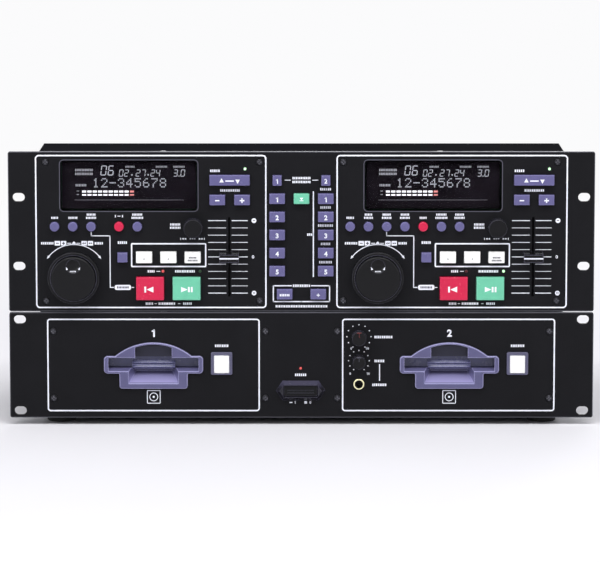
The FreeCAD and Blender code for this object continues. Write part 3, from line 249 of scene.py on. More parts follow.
    def dull(self, size, spread):
        """Gloss that changes a little from place to place."""
        value = self.spread(self.noise(size), 0.25, 0.75, self.roughness - spread, self.roughness + spread)
        self.links.new(value, self.shader.inputs["Roughness"])
        return self

    def set(self, **sockets):
        """Sets plain values on the shader."""
        for socket, value in sockets.items():
            self.shader.inputs[socket.replace("_", " ")].default_value = value
        return self

    def done(self):
        """Joins tone and roughness to the shader and gives the material."""
        self.links.new(self.tone, self.shader.inputs["Base Color"])
        if not self.shader.inputs["Roughness"].is_linked:
            self.shader.inputs["Roughness"].default_value = self.roughness
        return self.material

    def from_mould(self, gloss):
        """Finishes a plastic with the even sheen and fine grain of a spark-eroded mould."""
        self.dull(4.0, 0.05).grain(0.28, 0.012)
        return self.set(IOR=1.49, Specular_IOR_Level=gloss).done()


def moulded(name, colour, roughness, rim, reach=0.7, amount=0.8, gloss=0.3):
    """Coloured plastic with a painted highlight in the rim colour along its rounded rims."""
    # The rim colour is a painted highlight on the rounded edges.
    return Finish(name, colour, roughness).mottle(9.0, 0.045).edges(reach, rim, amount, 0.8).from_mould(gloss)


def bezel_plastic():
    """Violet plastic with painted highlights on its rims, painted shade in the slot and above it, and a
    painted pool of light on the floor of the finger recess.
    """
    # Painted highlight: a pale rim colour on the rounded rims and on a band just behind the front face.
    rim = linear(172, 170, 212)
    front = low("slot_bezel_1").y
    floor_top = DRIVE_Z + FINGER_FLOOR_TOP
    finish = Finish("bezel_plastic", linear(90, 88, 124), 0.4).mottle(9.0, 0.045).edges(1.2, rim, 0.9, 0.8)
    behind_front = finish.along("Y", front + 0.04, front + 0.12)
    rim_highlight_band = finish.along("Y", front + 0.9, front + 1.1, 0.75, 0.0)
    finish.over(finish.times(behind_front, rim_highlight_band), rim)
    # Painted shade: a dark tone deep in the slot and in the recess above it.
    painted_shade_depth = finish.along("Y", FACE + 0.2, FACE + 1.6)
    above = finish.along("Z", DRIVE_Z - 2.6, DRIVE_Z - 2.2)
    finish.over(finish.times(painted_shade_depth, above), linear(46, 46, 62))
    # Painted light: a pale tone on the floor of the finger recess, brighter towards the bottom.
    painted_light_depth = finish.along("Y", front + 0.9, front + 2.4)
    painted_light_ramp = finish.along("Z", floor_top, floor_top - 9.0, 0.0, 0.85)
    finish.over(finish.times(painted_light_depth, painted_light_ramp), linear(172, 166, 216))
    return finish.from_mould(0.3)


def power_bezel_plastic():
    """Near black plastic with painted highlights on its rims and on its upper slope."""
    finish = Finish("power_bezel_plastic", linear(32, 31, 38), 0.24).mottle(9.0, 0.045)
    finish.edges(0.9, linear(92, 90, 108), 0.6, 0.8)
    centre = middle("power_bezel").z
    # Painted highlight: a paler tone towards the top of the bezel.
    finish.over(finish.along("Z", centre + 2.0, centre + 6.0), linear(64, 62, 80))
    return finish.from_mould(0.3)


def powder_coat(name, colour, roughness, size, height, wear):
    """Black stoved paint on sheet metal, rubbed a little at its edges."""
    finish = Finish(name, colour, roughness).mottle(26.0, 0.09).edges(0.5, linear(92, 92, 98), wear)
    return finish.dull(11.0, 0.05).grain(size, height, 4.0).set(Specular_IOR_Level=0.0).done()


def panel_paint(name, node):
    """Powder coat with a painted highlight line where the front edge of the panel is chamfered."""
    finish = Finish(name, linear(20, 20, 23), 0.5).mottle(26.0, 0.09).edges(0.5, linear(84, 84, 92), 0.3)
    for axis, first, last in (("X", low(node).x, high(node).x), ("Z", low(node).z, high(node).z)):
        for end, inward in ((first, 1), (last, -1)):
            # Painted highlight: a pale line along each outer edge of the panel's front.
            chamfer_highlight = finish.along(axis, end + inward * 0.75, end + inward * 0.45, 0.0, 0.85)
            finish.over(chamfer_highlight, linear(96, 96, 104))
    return finish.dull(11.0, 0.05).grain(0.35, 0.02, 4.0).set(IOR=1.5, Specular_IOR_Level=0.1).done()


def printed_paint(name, colour, roughness, patch, amount):
    """Thin even paint for lines and signs."""
    return Finish(name, colour, roughness).mottle(patch, amount).dull(2.0, 0.06).grain(0.25, 0.01).done()


CASE_PAINT = powder_coat("case_paint", linear(27, 27, 30), 0.66, 0.7, 0.06, 0.5)
# The last colour given to each moulded plastic is a painted highlight for its rounded rims.
DOOR_PLASTIC = moulded("door_plastic", linear(80, 81, 114), 0.26, linear(146, 146, 190), 0.9, 0.9, 0.45)
KEY_PLASTIC = moulded("key_plastic", linear(94, 90, 136), 0.24, linear(150, 146, 196), 1.3, 0.9, 0.45)
RED_PLASTIC = moulded("red_plastic", linear(202, 20, 68), 0.24, linear(240, 96, 132), 1.0, 0.7, 0.45)
GREEN_PLASTIC = moulded("green_plastic", linear(106, 194, 160), 0.24, linear(176, 240, 220), 1.0, 0.7, 0.45)
WHITE_PLASTIC = moulded("white_plastic", linear(250, 250, 248), 0.4, linear(255, 255, 255), 0.4, 0.5)
KNOB_PLASTIC = moulded("knob_plastic", linear(20, 20, 22), 0.2, linear(112, 110, 130), 1.0, 1.0, 0.16)
BLACK_PLASTIC = moulded("black_plastic", linear(20, 20, 23), 0.42, linear(84, 84, 98), 0.5, 0.8, 0.15)
EJECT_BEZEL_PLASTIC = moulded("eject_bezel_plastic", linear(86, 85, 108), 0.4, linear(160, 158, 196),
                              0.9, 0.9)
RUBBER = Finish("rubber", linear(26, 26, 27), 0.8).mottle(5.0, 0.12).dull(3.0, 0.07).grain(0.5, 0.04).done()
# Painted highlight: a pale tone on the rounded rims of the screw heads.
SCREW_STEEL = Finish("blackened_steel", linear(42, 42, 46), 0.36, 0.85).mottle(2.0, 0.2).edges(
    0.9, linear(150, 150, 160), 0.9, 0.5).dull(1.5, 0.1).grain(0.2, 0.01).done()
STEEL = Finish("plated_steel", linear(168, 170, 174), 0.34, 0.95).mottle(12.0, 0.08).dull(6.0, 0.1).grain(
    0.3, 0.01, 2.0, (0.08, 1.0, 1.0)).done()
LINE_PAINT = printed_paint("line_paint", linear(238, 240, 250), 0.55, 3.0, 0.04)
GREY_PAINT = printed_paint("grey_paint", linear(84, 84, 98), 0.55, 3.0, 0.06)
DARK_PAINT = printed_paint("dark_paint", linear(44, 42, 60), 0.55, 2.0, 0.06)
RED_PAINT = printed_paint("red_paint", linear(128, 44, 46), 0.5, 2.0, 0.06)


def circuit_finish():
    """Green board: solder mask with thin copper runs under it."""
    finish = Finish("circuit_board", linear(24, 72, 46), 0.34).mottle(8.0, 0.1)
    finish.over(finish.thin_lines(160.0, 0.03, 0.5), linear(44, 104, 64))
    return finish.dull(4.0, 0.08).grain(0.4, 0.01).done()


def smoked_glass():
    """The tinted acrylic pane before a display."""
    finish = Finish("smoked_acrylic", linear(188, 186, 192), 0.03).mottle(40.0, 0.03)
    finish.dull(20.0, 0.01).grain(18.0, 0.003)
    return finish.set(Transmission_Weight=1.0, IOR=1.06).done()


def jack_finish():
    """A gold ring round a black bore."""
    finish = Finish("jack_parts", linear(255, 246, 200), 0.24, 1.0).mottle(3.0, 0.05)
    centre = middle("headphone_jack") * MM
    across = finish.nodes.new("ShaderNodeVectorMath")
    across.operation = "MULTIPLY_ADD"
    across.inputs[1].default_value = (1.0, 0.0, 1.0)
    across.inputs[2].default_value = (-centre.x, 0.0, -centre.z)
    finish.links.new(finish.place.outputs["Vector"], across.inputs[0])
    reach = finish.reach(across.outputs["Vector"])
    metal = finish.spread(reach, (JACK_BORE - 0.05) * MM, (JACK_BORE + 0.05) * MM, 0.0, 1.0)
    finish.tone = finish.blend(metal, linear(12, 12, 13), finish.tone)
    finish.links.new(metal, finish.shader.inputs["Metallic"])
    return finish.dull(2.0, 0.06).grain(0.2, 0.006).done()


def tube_face():
    """The dark face of a display tube with its fine wire grid."""
    finish = Finish("tube_face", linear(46, 41, 47), 0.4).mottle(40.0, 0.06)
    finish.over(finish.thin_lines(700.0, 0.06, 0.0, math.pi / 2), linear(52, 48, 53))
    return finish.dull(5.0, 0.06).grain(0.6, 0.002).set(Specular_IOR_Level=0.0).done()


def glow(name, colour, strength):
    """Lit phosphor or a lit lens, a little uneven."""
    finish = Finish(name, colour, 0.4).mottle(1.2, 0.15).dull(1.0, 0.05).grain(0.3, 0.004)
    finish.set(Emission_Color=colour, Emission_Strength=strength)
    return finish.done()


PHOSPHOR = glow("phosphor_white", linear(214, 220, 222), 1.1)
PHOSPHOR_DIM = glow("phosphor_dim", linear(196, 200, 202), 0.75)
PHOSPHOR_BRIGHT = glow("phosphor_bright", linear(250, 250, 250), 2.6)
PHOSPHOR_RED = glow("phosphor_red", linear(236, 150, 142), 1.6)
LENS_RED = glow("lens_red", linear(206, 82, 80), 0.35)
LENS_GREEN = glow("lens_green", linear(190, 244, 190), 0.8)
LENS_RED_OFF = glow("lens_red_unlit", linear(74, 20, 22), 0.05)
LENS_GREEN_OFF = glow("lens_green_unlit", linear(26, 60, 32), 0.05)


def socket_finish():
    """Brass barrels and shells that stand behind the rear panels, and black mouldings."""
    finish = Finish("socket_parts", linear(24, 24, 26), 0.42)
    rear = high("drive_chassis").y
    behind = finish.along("Y", rear, rear + 0.2)
    phono_side = finish.along("X", -60.0, -61.0)
    metal = finish.times(behind, phono_side)
    patch = finish.patches(3.0)
    black = finish.blend(patch, linear(22, 22, 24), linear(28, 28, 30))
    brass = finish.blend(patch, linear(222, 186, 104), linear(234, 202, 124))
    finish.tone = finish.blend(metal, black, brass)
    finish.links.new(metal, finish.shader.inputs["Metallic"])
    finish.links.new(finish.spread(metal, 0.0, 1.0, 0.44, 0.24), finish.shader.inputs["Roughness"])
    return finish.grain(0.3, 0.008).done()


NODE_FINISHES = {
    "panel_black": CASE_PAINT,
    "case_black": CASE_PAINT,
    "bezel_violet": bezel_plastic(),
    "door_blue": DOOR_PLASTIC,
    "key_violet": KEY_PLASTIC,
    "key_red": RED_PLASTIC,
    "key_green": GREEN_PLASTIC,
    "key_white": WHITE_PLASTIC,
    "knob_black": KNOB_PLASTIC,
    "rubber_black": RUBBER,
    "screw_black": SCREW_STEEL,
    "window_smoke": smoked_glass(),
    "board_green": circuit_finish(),
    "lamp_clear": LENS_RED,
    "jack_gold": jack_finish(),
    "loader_steel": STEEL,
    "part_black": BLACK_PLASTIC,
}


def dress(node, material):
    """Gives a node of the model its finish."""
    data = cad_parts[node].data
    data.materials.clear()
    data.materials.append(material)


# Flat shapes, drawn across and up in millimetres

def placed(x, z, width, height, turn):
    """Where a flat shape of unit size goes: stretched, turned about its middle, and moved."""
    stretch = Matrix.Diagonal((width, height, 1, 1))
    return Matrix.Translation((x, z, 0)) @ Matrix.Rotation(turn, 4, "Z") @ stretch


def bar(mesh, x, z, width, height, turn=0.0):
    """A flat rectangle, turned about its middle."""
    place = placed(x, z, width, height, turn)
    return bmesh.ops.create_grid(mesh, x_segments=1, y_segments=1, size=0.5, matrix=place)["verts"]


def stroke(mesh, x, z, to_x, to_z, width):
    """A straight line between two points, with square ends that reach half its width past them."""
    length = math.hypot(to_x - x, to_z - z) + width
    bar(mesh, (x + to_x) / 2, (z + to_z) / 2, length, width, math.atan2(to_z - z, to_x - x))


def path(mesh, points, width):
    """A line with corners."""
    for (x, z), (to_x, to_z) in zip(points, points[1:]):
        stroke(mesh, x, z, to_x, to_z, width)


def last_face(mesh):
    """The face that was made last."""
    mesh.faces.ensure_lookup_table()
    return mesh.faces[-1]


def slab(mesh, x, z, width, height, corner):
    """A rectangle with rounded corners."""
    corners = bar(mesh, x, z, width, height)
    bmesh.ops.bevel(mesh, geom=corners, offset=corner, offset_type="OFFSET", affect="VERTICES", segments=6,
                    profile=0.5, material=-1)
    return last_face(mesh)


def hollow(mesh, face, width):
    """Leaves only a line along the edge of a face."""
    bmesh.ops.inset_region(mesh, faces=[face], thickness=width, use_even_offset=True, use_boundary=True)
    bmesh.ops.delete(mesh, geom=[face], context="FACES_ONLY")


def outline(mesh, x_low, x_high, z_low, z_high, corner, width):
    """A line round a rectangle with rounded corners."""
    face = slab(mesh, (x_low + x_high) / 2, (z_low + z_high) / 2, x_high - x_low, z_high - z_low, corner)
    hollow(mesh, face, width)

def frame_line(mesh, x_low, x_high, z_low, z_high, corner):
    """A wide printed line whose middle follows the sides of a rectangle."""
    half = FRAME_LINE / 2
    outline(mesh, x_low - half, x_high + half, z_low - half, z_high + half, corner, FRAME_LINE)


def spot(mesh, x, z, radius, segments=20):
    """A round dot."""
    bmesh.ops.create_circle(mesh, cap_ends=True, segments=segments, radius=radius,
                            matrix=Matrix.Translation((x, z, 0)))
    return last_face(mesh)


def hoop(mesh, x, z, radius, width):
    """A thin circle."""
    hollow(mesh, spot(mesh, x, z, radius + width / 2, 40), width)


def wedge(mesh, x, z, width, height, turn=0.0):
    """A triangle that points up, or where it is turned to."""
    place = placed(x, z, width / math.sqrt(3), height / 1.5, turn)
    bmesh.ops.create_circle(mesh, cap_ends=True, segments=3, radius=1, matrix=place)


def bow(mesh, x, z, radius, width, start, end):
    """A line along a circle, between two angles in degrees from straight up."""
    inner = mesh.verts.new((x, z + radius - width / 2, 0))
    outer = mesh.verts.new((x, z + radius + width / 2, 0))
    edge = mesh.edges.new((inner, outer))
    centre = Vector((x, z, 0))
    first_turn = Matrix.Rotation(-math.radians(start), 3, "Z")
    bmesh.ops.rotate(mesh, verts=[inner, outer], cent=centre, matrix=first_turn)
    bmesh.ops.spin(mesh, geom=[inner, outer, edge], cent=centre, axis=(0, 0, -1), dvec=(0, 0, 0),
                   angle=math.radians(end - start), steps=28, use_merge=False, use_duplicate=False)


def caption(mesh, x, z, width, height):
    """A row of plain blocks where the real one has a small word."""
    pitch = height * 0.72
    count = max(2, round(width / pitch))
    pitch = width / count
    for i in range(count):
        share = (0.74, 0.62, 0.78, 0.58, 0.7)[i % 5]
        bar(mesh, x - width / 2 + pitch * (i + 0.5), z, pitch * share, height)


def numeral(mesh, text, x, z, height, weight):
    """Plain numerals, centred on a point; weight is how far each stroke is thickened."""
    pitch = height * 0.74
    for i, digit in enumerate(text):
        across = x + (i - (len(text) - 1) / 2) * pitch
        if digit == "1":
            figure_one(mesh, across, z, height, weight)
        else:
            round_figure(mesh, digit, across, z, height, weight)


def figure_one(mesh, x, z, height, weight):
    """A one with a clear flag."""
    line = height * 0.11 + 2 * weight
    stem = x + height * 0.08
    top = z + height / 2 - line / 2
    stroke(mesh, stem, top, stem, z - height / 2 + line / 2, line)
    stroke(mesh, stem, top, x - height * 0.14, z + height * 0.26, line * 0.8)


def round_figure(mesh, digit, x, z, height, weight):
    """A digit from the plain built-in letters."""
    curve = bpy.data.curves.new("numeral", "FONT")
    curve.body = digit
    curve.size = (height - 2 * weight) * 1.38
    curve.offset = weight
    curve.resolution_u = 5
    holder = bpy.data.objects.new("numeral", curve)
    flat = bpy.data.meshes.new_from_object(holder)
    corners = [corner.co for corner in flat.vertices]
    across = (min(c.x for c in corners) + max(c.x for c in corners)) / 2
    up = (min(c.y for c in corners) + max(c.y for c in corners)) / 2
    flat.transform(Matrix.Translation((x - across, z - up, 0)))
    mesh.from_mesh(flat)
    bpy.data.objects.remove(holder)
    bpy.data.curves.remove(curve)
    bpy.data.meshes.remove(flat)


SEGMENTS = {"0": "abcdef", "1": "bc", "2": "abged", "3": "abgcd", "4": "fgbc", "5": "afgcd", "6": "afgedc",
            "7": "abc", "8": "abcdefg", "9": "abcdfg"}
LEAN = 0.14


def segment_digit(mesh, digit, x, z, width, height, line):
    """A slanted digit of up to seven lit bars."""
    half = height / 2
    side = (width - line) / 2
    slope = -math.atan(LEAN)
    flat = width - 2 * line
    upright = half - line * 1.3
    parts = {"a": (0, half - line / 2, True), "g": (0, 0, True), "d": (0, -half + line / 2, True),
             "f": (-side, half / 2, False), "b": (side, half / 2, False),
             "e": (-side, -half / 2, False), "c": (side, -half / 2, False)}
    for letter in SEGMENTS[digit]:
        across, up, level = parts[letter]
        if level:
            bar(mesh, x + across + LEAN * up, z + up, flat, line)
        else:
            bar(mesh, x + across + LEAN * up, z + up, line, upright, slope)


DOTS = {
    "1": ("00100", "01100", "00100", "00100", "00100", "00100", "01110"),
    "2": ("01110", "10001", "00001", "00010", "00100", "01000", "11111"),
    "3": ("01110", "10001", "00001", "00110", "00001", "10001", "01110"),
    "4": ("00010", "00110", "01010", "10010", "11111", "00010", "00010"),
    "5": ("11111", "10000", "11110", "00001", "00001", "10001", "01110"),
    "6": ("00110", "01000", "10000", "11110", "10001", "10001", "01110"),
    "7": ("11111", "00001", "00010", "00100", "01000", "01000", "01000"),
    "8": ("01110", "10001", "10001", "01110", "10001", "10001", "01110"),
    "-": ("00000", "00000", "00000", "11111", "00000", "00000", "00000"),
}


def dot_digit(mesh, sign, x, z, pitch, size):
    """A digit or dash made of small square dots."""
    for row, line in enumerate(DOTS[sign]):
        for column, lit in enumerate(line):
            if lit == "1":
                bar(mesh, x + (column - 2) * pitch, z + (3 - row) * pitch * 1.05, size, size)


def lay(mesh, name, face, finish, body, proud=PAINT_THICKNESS, sunk=0.02, outward=1):
    """Thickens flat shapes and lays them on a face that looks forward, or back where outward is -1."""
    bmesh.ops.translate(mesh, verts=mesh.verts, vec=(0, 0, -sunk))
    grown = bmesh.ops.extrude_face_region(mesh, geom=mesh.faces[:])["geom"]
    raised = [part for part in grown if isinstance(part, bmesh.types.BMVert)]
    bmesh.ops.translate(mesh, verts=raised, vec=(0, 0, proud + sunk))
    upright = Matrix.Rotation(math.pi / 2, 4, "X") @ Matrix.Diagonal((MM, MM, outward * MM, 1))
    bmesh.ops.transform(mesh, verts=mesh.verts, matrix=Matrix.Translation((0, face * MM, 0)) @ upright)
    return piece(mesh, name, finish, body)


def piece(mesh, name, finish, body):
    """Turns a finished mesh into an object that moves with a body."""
    bmesh.ops.recalc_face_normals(mesh, faces=mesh.faces)
    data = bpy.data.meshes.new(name)
    mesh.to_mesh(data)
    mesh.free()
    data.materials.append(finish)
    made = bpy.data.objects.new(name, data)
    bpy.context.scene.collection.objects.link(made)
    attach(made, body)
    return made


# Printed lines and marks of the control panel

# Over the round keys of each deck: place across, width and number of rows
KEY_CAPTIONS = {
    1: [(-78.0, 5.9, 1), (-63.0, 7.6, 1), (-48.0, 8.7, 2), (-10.0, 9.8, 2)],
    2: [(-85.0, 6.5, 1), (-70.0, 7.5, 2), (-55.0, 8.1, 2), (-40.0, 8.3, 2), (-25.0, 6.0, 1), (-10.0, 10.2, 2),
        (5.0, 8.7, 2)],
}

# The other captions of each deck: place across, place up, width and height
DECK_CAPTIONS = {
    "beside the select knob": [(21.2, 6.0, 8.6, 1.8), (21.2, 3.3, 9.0, 1.8)],
    "over the loop key": [(-22.4, -9.0, 7.9, 2.2)],
    "over the cue and play keys": [(1.2, -32.9, 6.2, 2.0), (29.0, -32.9, 16.6, 2.0)],
    "under the cue and play keys": [(-0.4, -59.8, 6.4, 1.9), (14.0, -59.8, 14.0, 1.9),
                                    (31.0, -59.8, 7.4, 1.9)],
    "over the pitch key": [(54.0, 50.4, 8.3, 2.1)],
    "over the pitch bend keys": [(66.3, 34.2, 16.4, 2.0)],
}

# Dashes between captions and signs: place across, place up, width and height
DECK_DASHES = [(7.1, -32.9, 3.2, 0.55), (4.8, -59.8, 1.9, 0.5), (24.2, -59.8, 1.9, 0.5),
               (33.6, -5.9, 1.0, 0.5), (35.4, -5.9, 1.0, 0.5), (37.2, -5.9, 1.0, 0.5),
               (-14.0, -46.3, 2.0, 0.6)]

DECK_FRAME_INNER_X = 29.3
DECK_FRAME_OUTER_X = 218.4
DECK_FRAME_UP = 63.0
SEARCH_ROW_Z = -9.6
LEAD_START_X = {1: -48.0, 2: -55.0}
LEAD_X = -32.6
LEAD_BOX_X = -22.2
LEAD_BOX_Z = -46.3


def search_marks(mesh, dark, x, z):
    """The row above the jog dial: filled boxes with small signs, a diamond and dashes."""
    for away in (-13.6, -8.5, 8.4, 13.6):
        slab(mesh, x + away, z, 4.5, 3.8, 0.5)
    for away in (-13.6, -8.5):
        bar(dark, x + away, z, 2.4, 0.7)
    bar(dark, x - 8.5, z, 0.7, 2.4)
    for away, turn in ((8.4, math.pi / 2), (13.6, -math.pi / 2)):
        for step in (-0.8, 0.8):
            wedge(dark, x + away + step, z, 1.7, 1.5, turn)
    bar(mesh, x, z, 2.3, 2.3, math.pi / 4)
    for away in (-3.8, 3.7):
        bar(mesh, x + away, z, 3.4, 0.55)
    caption(mesh, x - 21.9, z, 10.7, 2.0)
    caption(mesh, x + 20.5, z, 7.1, 2.0)


def key_row_print(mesh, deck):
    """What stands over the round keys of a deck."""
    x = DECK_X[deck]
    z = CONTROL_Z
    for away, width, rows in KEY_CAPTIONS[deck]:
        caption(mesh, x + away, z + 11.5, width, 1.75)
        if rows == 2:
            caption(mesh, x + away, z + 14.2, width * 0.86, 1.75)
    if deck == 1:
        for away in (-28.0, -22.2):
            bar(mesh, x + away, z + 12.9, 0.8, 2.0)
        bar(mesh, x - 25.1, z + 12.9, 2.4, 0.55)


def select_signs(mesh, x, z):
    """Two triangles and a line on each side under the select knob."""
    for away, turn in ((28.6, math.pi / 2), (42.2, -math.pi / 2)):
        for step in (-1.0, 1.0):
            wedge(mesh, x + away + step, z, 1.7, 1.7, turn)
        bar(mesh, x + away - turn * 1.9, z, 0.5, 1.8)


def lead_line(mesh, dark, deck):
    """The line that leads from under the round keys to a filled box beside the cue key."""
    x = DECK_X[deck]
    z = CONTROL_Z
    start = x + LEAD_START_X[deck]
    end = x + LEAD_X
    path(mesh, [(start, z - 0.6), (start, z - 3.4), (end, z - 3.4), (end, z + LEAD_BOX_Z),
                (end + 2.8, z + LEAD_BOX_Z)], 0.75)
    slab(mesh, x + LEAD_BOX_X, z + LEAD_BOX_Z, 13.6, 4.2, 1.6)
    caption(dark, x + LEAD_BOX_X, z + LEAD_BOX_Z, 9.8, 1.7)


def deck_print(mesh, dark, deck):
    """Everything printed round the keys of one deck."""
    x = DECK_X[deck]
    z = CONTROL_Z
    side = -1 if deck == 1 else 1
    left, right = sorted((side * DECK_FRAME_INNER_X, side * DECK_FRAME_OUTER_X))
    frame_line(mesh, left, right, z - DECK_FRAME_UP, z + DECK_FRAME_UP, 3.2)
    frame_line(mesh, x - 14.8, x + 46.2, z - 28.9, z - 10.0, 1.2)
    for captions in DECK_CAPTIONS.values():
        for across, up, width, height in captions:
            caption(mesh, x + across, z + up, width, height)
    for across, up, width, height in DECK_DASHES:
        bar(mesh, x + across, z + up, width, height)
    key_row_print(mesh, deck)
    select_signs(mesh, x, z - 5.9)
    fader_scale(mesh, dark, x + FADER_X, z + FADER_Z)
    jog_print(mesh, x + JOG_X, z + JOG_Z)
    search_marks(mesh, dark, x + JOG_X, z + SEARCH_ROW_Z)
    lead_line(mesh, dark, deck)


def fader_scale(mesh, dark, x, z):
    """Eleven lines on each side of the fader's slot, with a mark at each end and at the middle."""
    mark_x = x + 20.4
    mark_up = 30.1
    for step in range(-5, 6):
        height = z + step * 6.02
        width = 0.62 if step in (-5, 0, 5) else 0.45
        bar(mesh, x - 10.0, height, 14.8, width)
        bar(mesh, x + 8.6, height, 13.2, width)
    spot(mesh, mark_x, z + mark_up, 2.0)
    bar(dark, mark_x, z + mark_up, 2.0, 0.6)
    hoop(mesh, mark_x, z - mark_up, 1.5, 0.8)
    bar(mesh, mark_x, z - mark_up, 1.9, 0.5)
    bar(mesh, mark_x, z - mark_up, 0.5, 1.9)
    numeral(mesh, "0", x + 19.6, z, 2.9, 0.12)


def jog_print(mesh, x, z):
    """The bow over the jog dial with an arrowhead at each end."""
    radius = 26.7
    bow(mesh, x, z, radius, 0.7, -50.5, 50.5)
    for side in (-1, 1):
        angle = side * math.radians(52.5)
        wedge(mesh, x + radius * math.sin(angle), z + radius * math.cos(angle), 2.3, 2.8,
              -angle - side * math.pi / 2)


def middle_print(mesh):
    """The column of marks between the two decks."""
    z = CONTROL_Z
    for height in (44.4, 41.2):
        caption(mesh, 0.0, z + height, 15.2, 1.9)
    for away in (-11.3, 11.3):
        bar(mesh, away, z + 42.7, 5.0, 0.55)
    stroke(mesh, 9.8, z + 33.0, 9.8, z - 37.1, 0.95)
    caption(mesh, 7.4, z - 2.4, 5.6, 2.0)
    for height, width in ((35.2, 9.2), (20.1, 9.0), (5.1, 12.6), (-10.1, 8.0), (-25.3, 10.8)):
        caption(mesh, 19.8, z + height, width, 2.0)
    for side in (-1, 1):
        path(mesh, [(side * 8.4, z - 44.9), (side * 23.2, z - 44.9), (side * 23.2, z - 58.1),
                    (0.0, z - 58.1)], 0.95)
    caption(mesh, 0.0, z - 44.9, 14.6, 2.1)
    caption(mesh, 0.0, z - 62.0, 43.0, 1.9)


def window_lines(mesh, deck):
    """The thin grey line round a display pane."""
    x = DECK_X[deck] + WINDOW_X
    z = CONTROL_Z + WINDOW_Z
    outline(mesh, x - 57.2, x + 57.2, z - 21.6, z + 21.6, 3.6, 0.5)


control_lines = bmesh.new()
control_dark = bmesh.new()
window_edges = bmesh.new()
for deck in (1, 2):
    deck_print(control_lines, control_dark, deck)
    window_lines(window_edges, deck)
middle_print(control_lines)
lay(control_lines, "control_panel_lines", FACE, LINE_PAINT, "root")
lay(control_dark, "control_panel_dark_marks", FACE - PAINT_THICKNESS, DARK_PAINT, "root", 0.04)
lay(window_edges, "display_outlines", FACE, GREY_PAINT, "root")


# Printed lines and marks of the drive panel

def scale_ring(mesh, x, z, radius, dots, size):
    """A ring of dots round a level knob, open at the bottom."""
    for i in range(dots):
        angle = math.radians(-150 + 300 * i / (dots - 1))
        spot(mesh, x + radius * math.sin(angle), z + radius * math.cos(angle), size, 12)

def disc_sign(mesh, x, z):
    """A plain disc in a square."""
    outline(mesh, x - 5.6, x + 5.6, z - 5.6, z + 5.6, 0.8, 0.6)
    hoop(mesh, x, z, 3.3, 0.6)
    spot(mesh, x, z, 0.9)


def level_print(mesh, x, z):
    """Dots, numerals and captions round the two level knobs and the headphone jack."""
    for up, radius, away, drop in ((RECORD_LEVEL_Z, 10.0, 6.4, 9.9), (PHONES_LEVEL_Z, 8.6, 7.2, 10.8)):
        scale_ring(mesh, x, z + up, radius, 11, 0.5)
        numeral(mesh, "0", x - away, z + up - drop, 2.0, 0.1)
        numeral(mesh, "10", x + away + 0.4, z + up - drop, 2.0, 0.1)
    for across, up, width in ((20.2, 23.4, 15.2), (16.9, 3.4, 8.4), (16.9, -16.6, 12.0)):
        caption(mesh, x + across, z + up, width, 2.1)
    stroke(mesh, x + 17.1, z + 0.4, x + 17.1, z - 12.8, 0.8)


def power_print(mesh, x, z):
    """The caption under the power lamp, and the row of signs under the mains key."""
    caption(mesh, x, z - 8.2, 9.6, 2.1)
    row = z - 31.3
    bar(mesh, x - 8.0, row - 0.1, 2.4, 0.9)
    numeral(mesh, "1", x - 4.6, row, 2.2, 0.1)
    slab(mesh, x + 4.2, row, 2.2, 2.2, 0.3)
    numeral(mesh, "0", x + 8.0, row, 2.2, 0.1)


def drive_print(mesh):
    """Everything printed on the panel of the drive unit."""
    for left, right in ((-209.6, -35.0), (34.1, 209.0)):
        frame_line(mesh, left, right, DRIVE_Z - 38.2, DRIVE_Z + 38.2, 2.6)
    for deck, x in ((1, -SLOT_X), (2, SLOT_X)):
        numeral(mesh, str(deck), x, DRIVE_Z + 26.6, 6.4, 0.34)
        disc_sign(mesh, x, DRIVE_Z - 26.7)
        caption(mesh, x + EJECT_X, DRIVE_Z + 16.1, 11.4, 2.1)
    level_print(mesh, LEVEL_X, DRIVE_Z)
    power_print(mesh, POWER_X, DRIVE_Z)


drive_lines = bmesh.new()
drive_print(drive_lines)
lay(drive_lines, "drive_panel_lines", low("drive_front_panel").y, LINE_PAINT, "root")


# Numerals and signs on the keys

PRESET_X = 20.0
PRESET_COUNT = 5
PRESET_HEIGHT = 10.6


def key_print(name, node, draw, finish=LINE_PAINT):
    """Lays what is printed on the keys of one node on their front faces."""
    mesh = bmesh.new()
    draw(mesh, node)
    return lay(mesh, name, low(node).y, finish, node, SIGN_THICKNESS)


def end_keys(node, inward):
    """The middles of the first and the last key in a row."""
    return low(node).x + inward, high(node).x - inward


def plus(mesh, x, z, reach, line):
    """An upright cross."""
    bar(mesh, x, z, reach, line)
    bar(mesh, x, z, line, reach)


def preset_numerals(mesh, node):
    """The numbers of a column of keys, from the top down."""
    x = math.copysign(PRESET_X, middle(node).x)
    top = high(node).z - PRESET_HEIGHT / 2
    bottom = low(node).z + PRESET_HEIGHT / 2
    for i in range(PRESET_COUNT):
        row = top - i * (top - bottom) / (PRESET_COUNT - 1)
        numeral(mesh, str(i + 1), x, row - 0.6, 4.3, 0.2)


def deck_key_numerals(mesh, node):
    """The number of each deck."""
    for side, text in ((-1, "1"), (1, "2")):
        numeral(mesh, text, side * PRESET_X, middle(node).z - 0.5, 4.0, 0.18)


def load_sign(mesh, node):
    """A triangle that points down to a line."""
    x = middle(node).x
    z = middle(node).z
    wedge(mesh, x, z + 0.3, 3.0, 2.0, math.pi)
    bar(mesh, x, z - 1.5, 3.2, 0.6)


def program_signs(mesh, node):
    """A caption on the left key and a plus on the right one."""
    left, right = end_keys(node, 7.4)
    z = middle(node).z - 0.6
    caption(mesh, left, z, 8.4, 1.9)
    plus(mesh, right, z, 2.6, 0.7)


def play_sign(mesh, node):
    """A triangle and two bars."""
    x = middle(node).x
    z = middle(node).z - 0.6
    wedge(mesh, x - 2.7, z, 4.4, 5.4, -math.pi / 2)
    for away in (1.9, 4.3):
        bar(mesh, x + away, z, 1.5, 4.4)


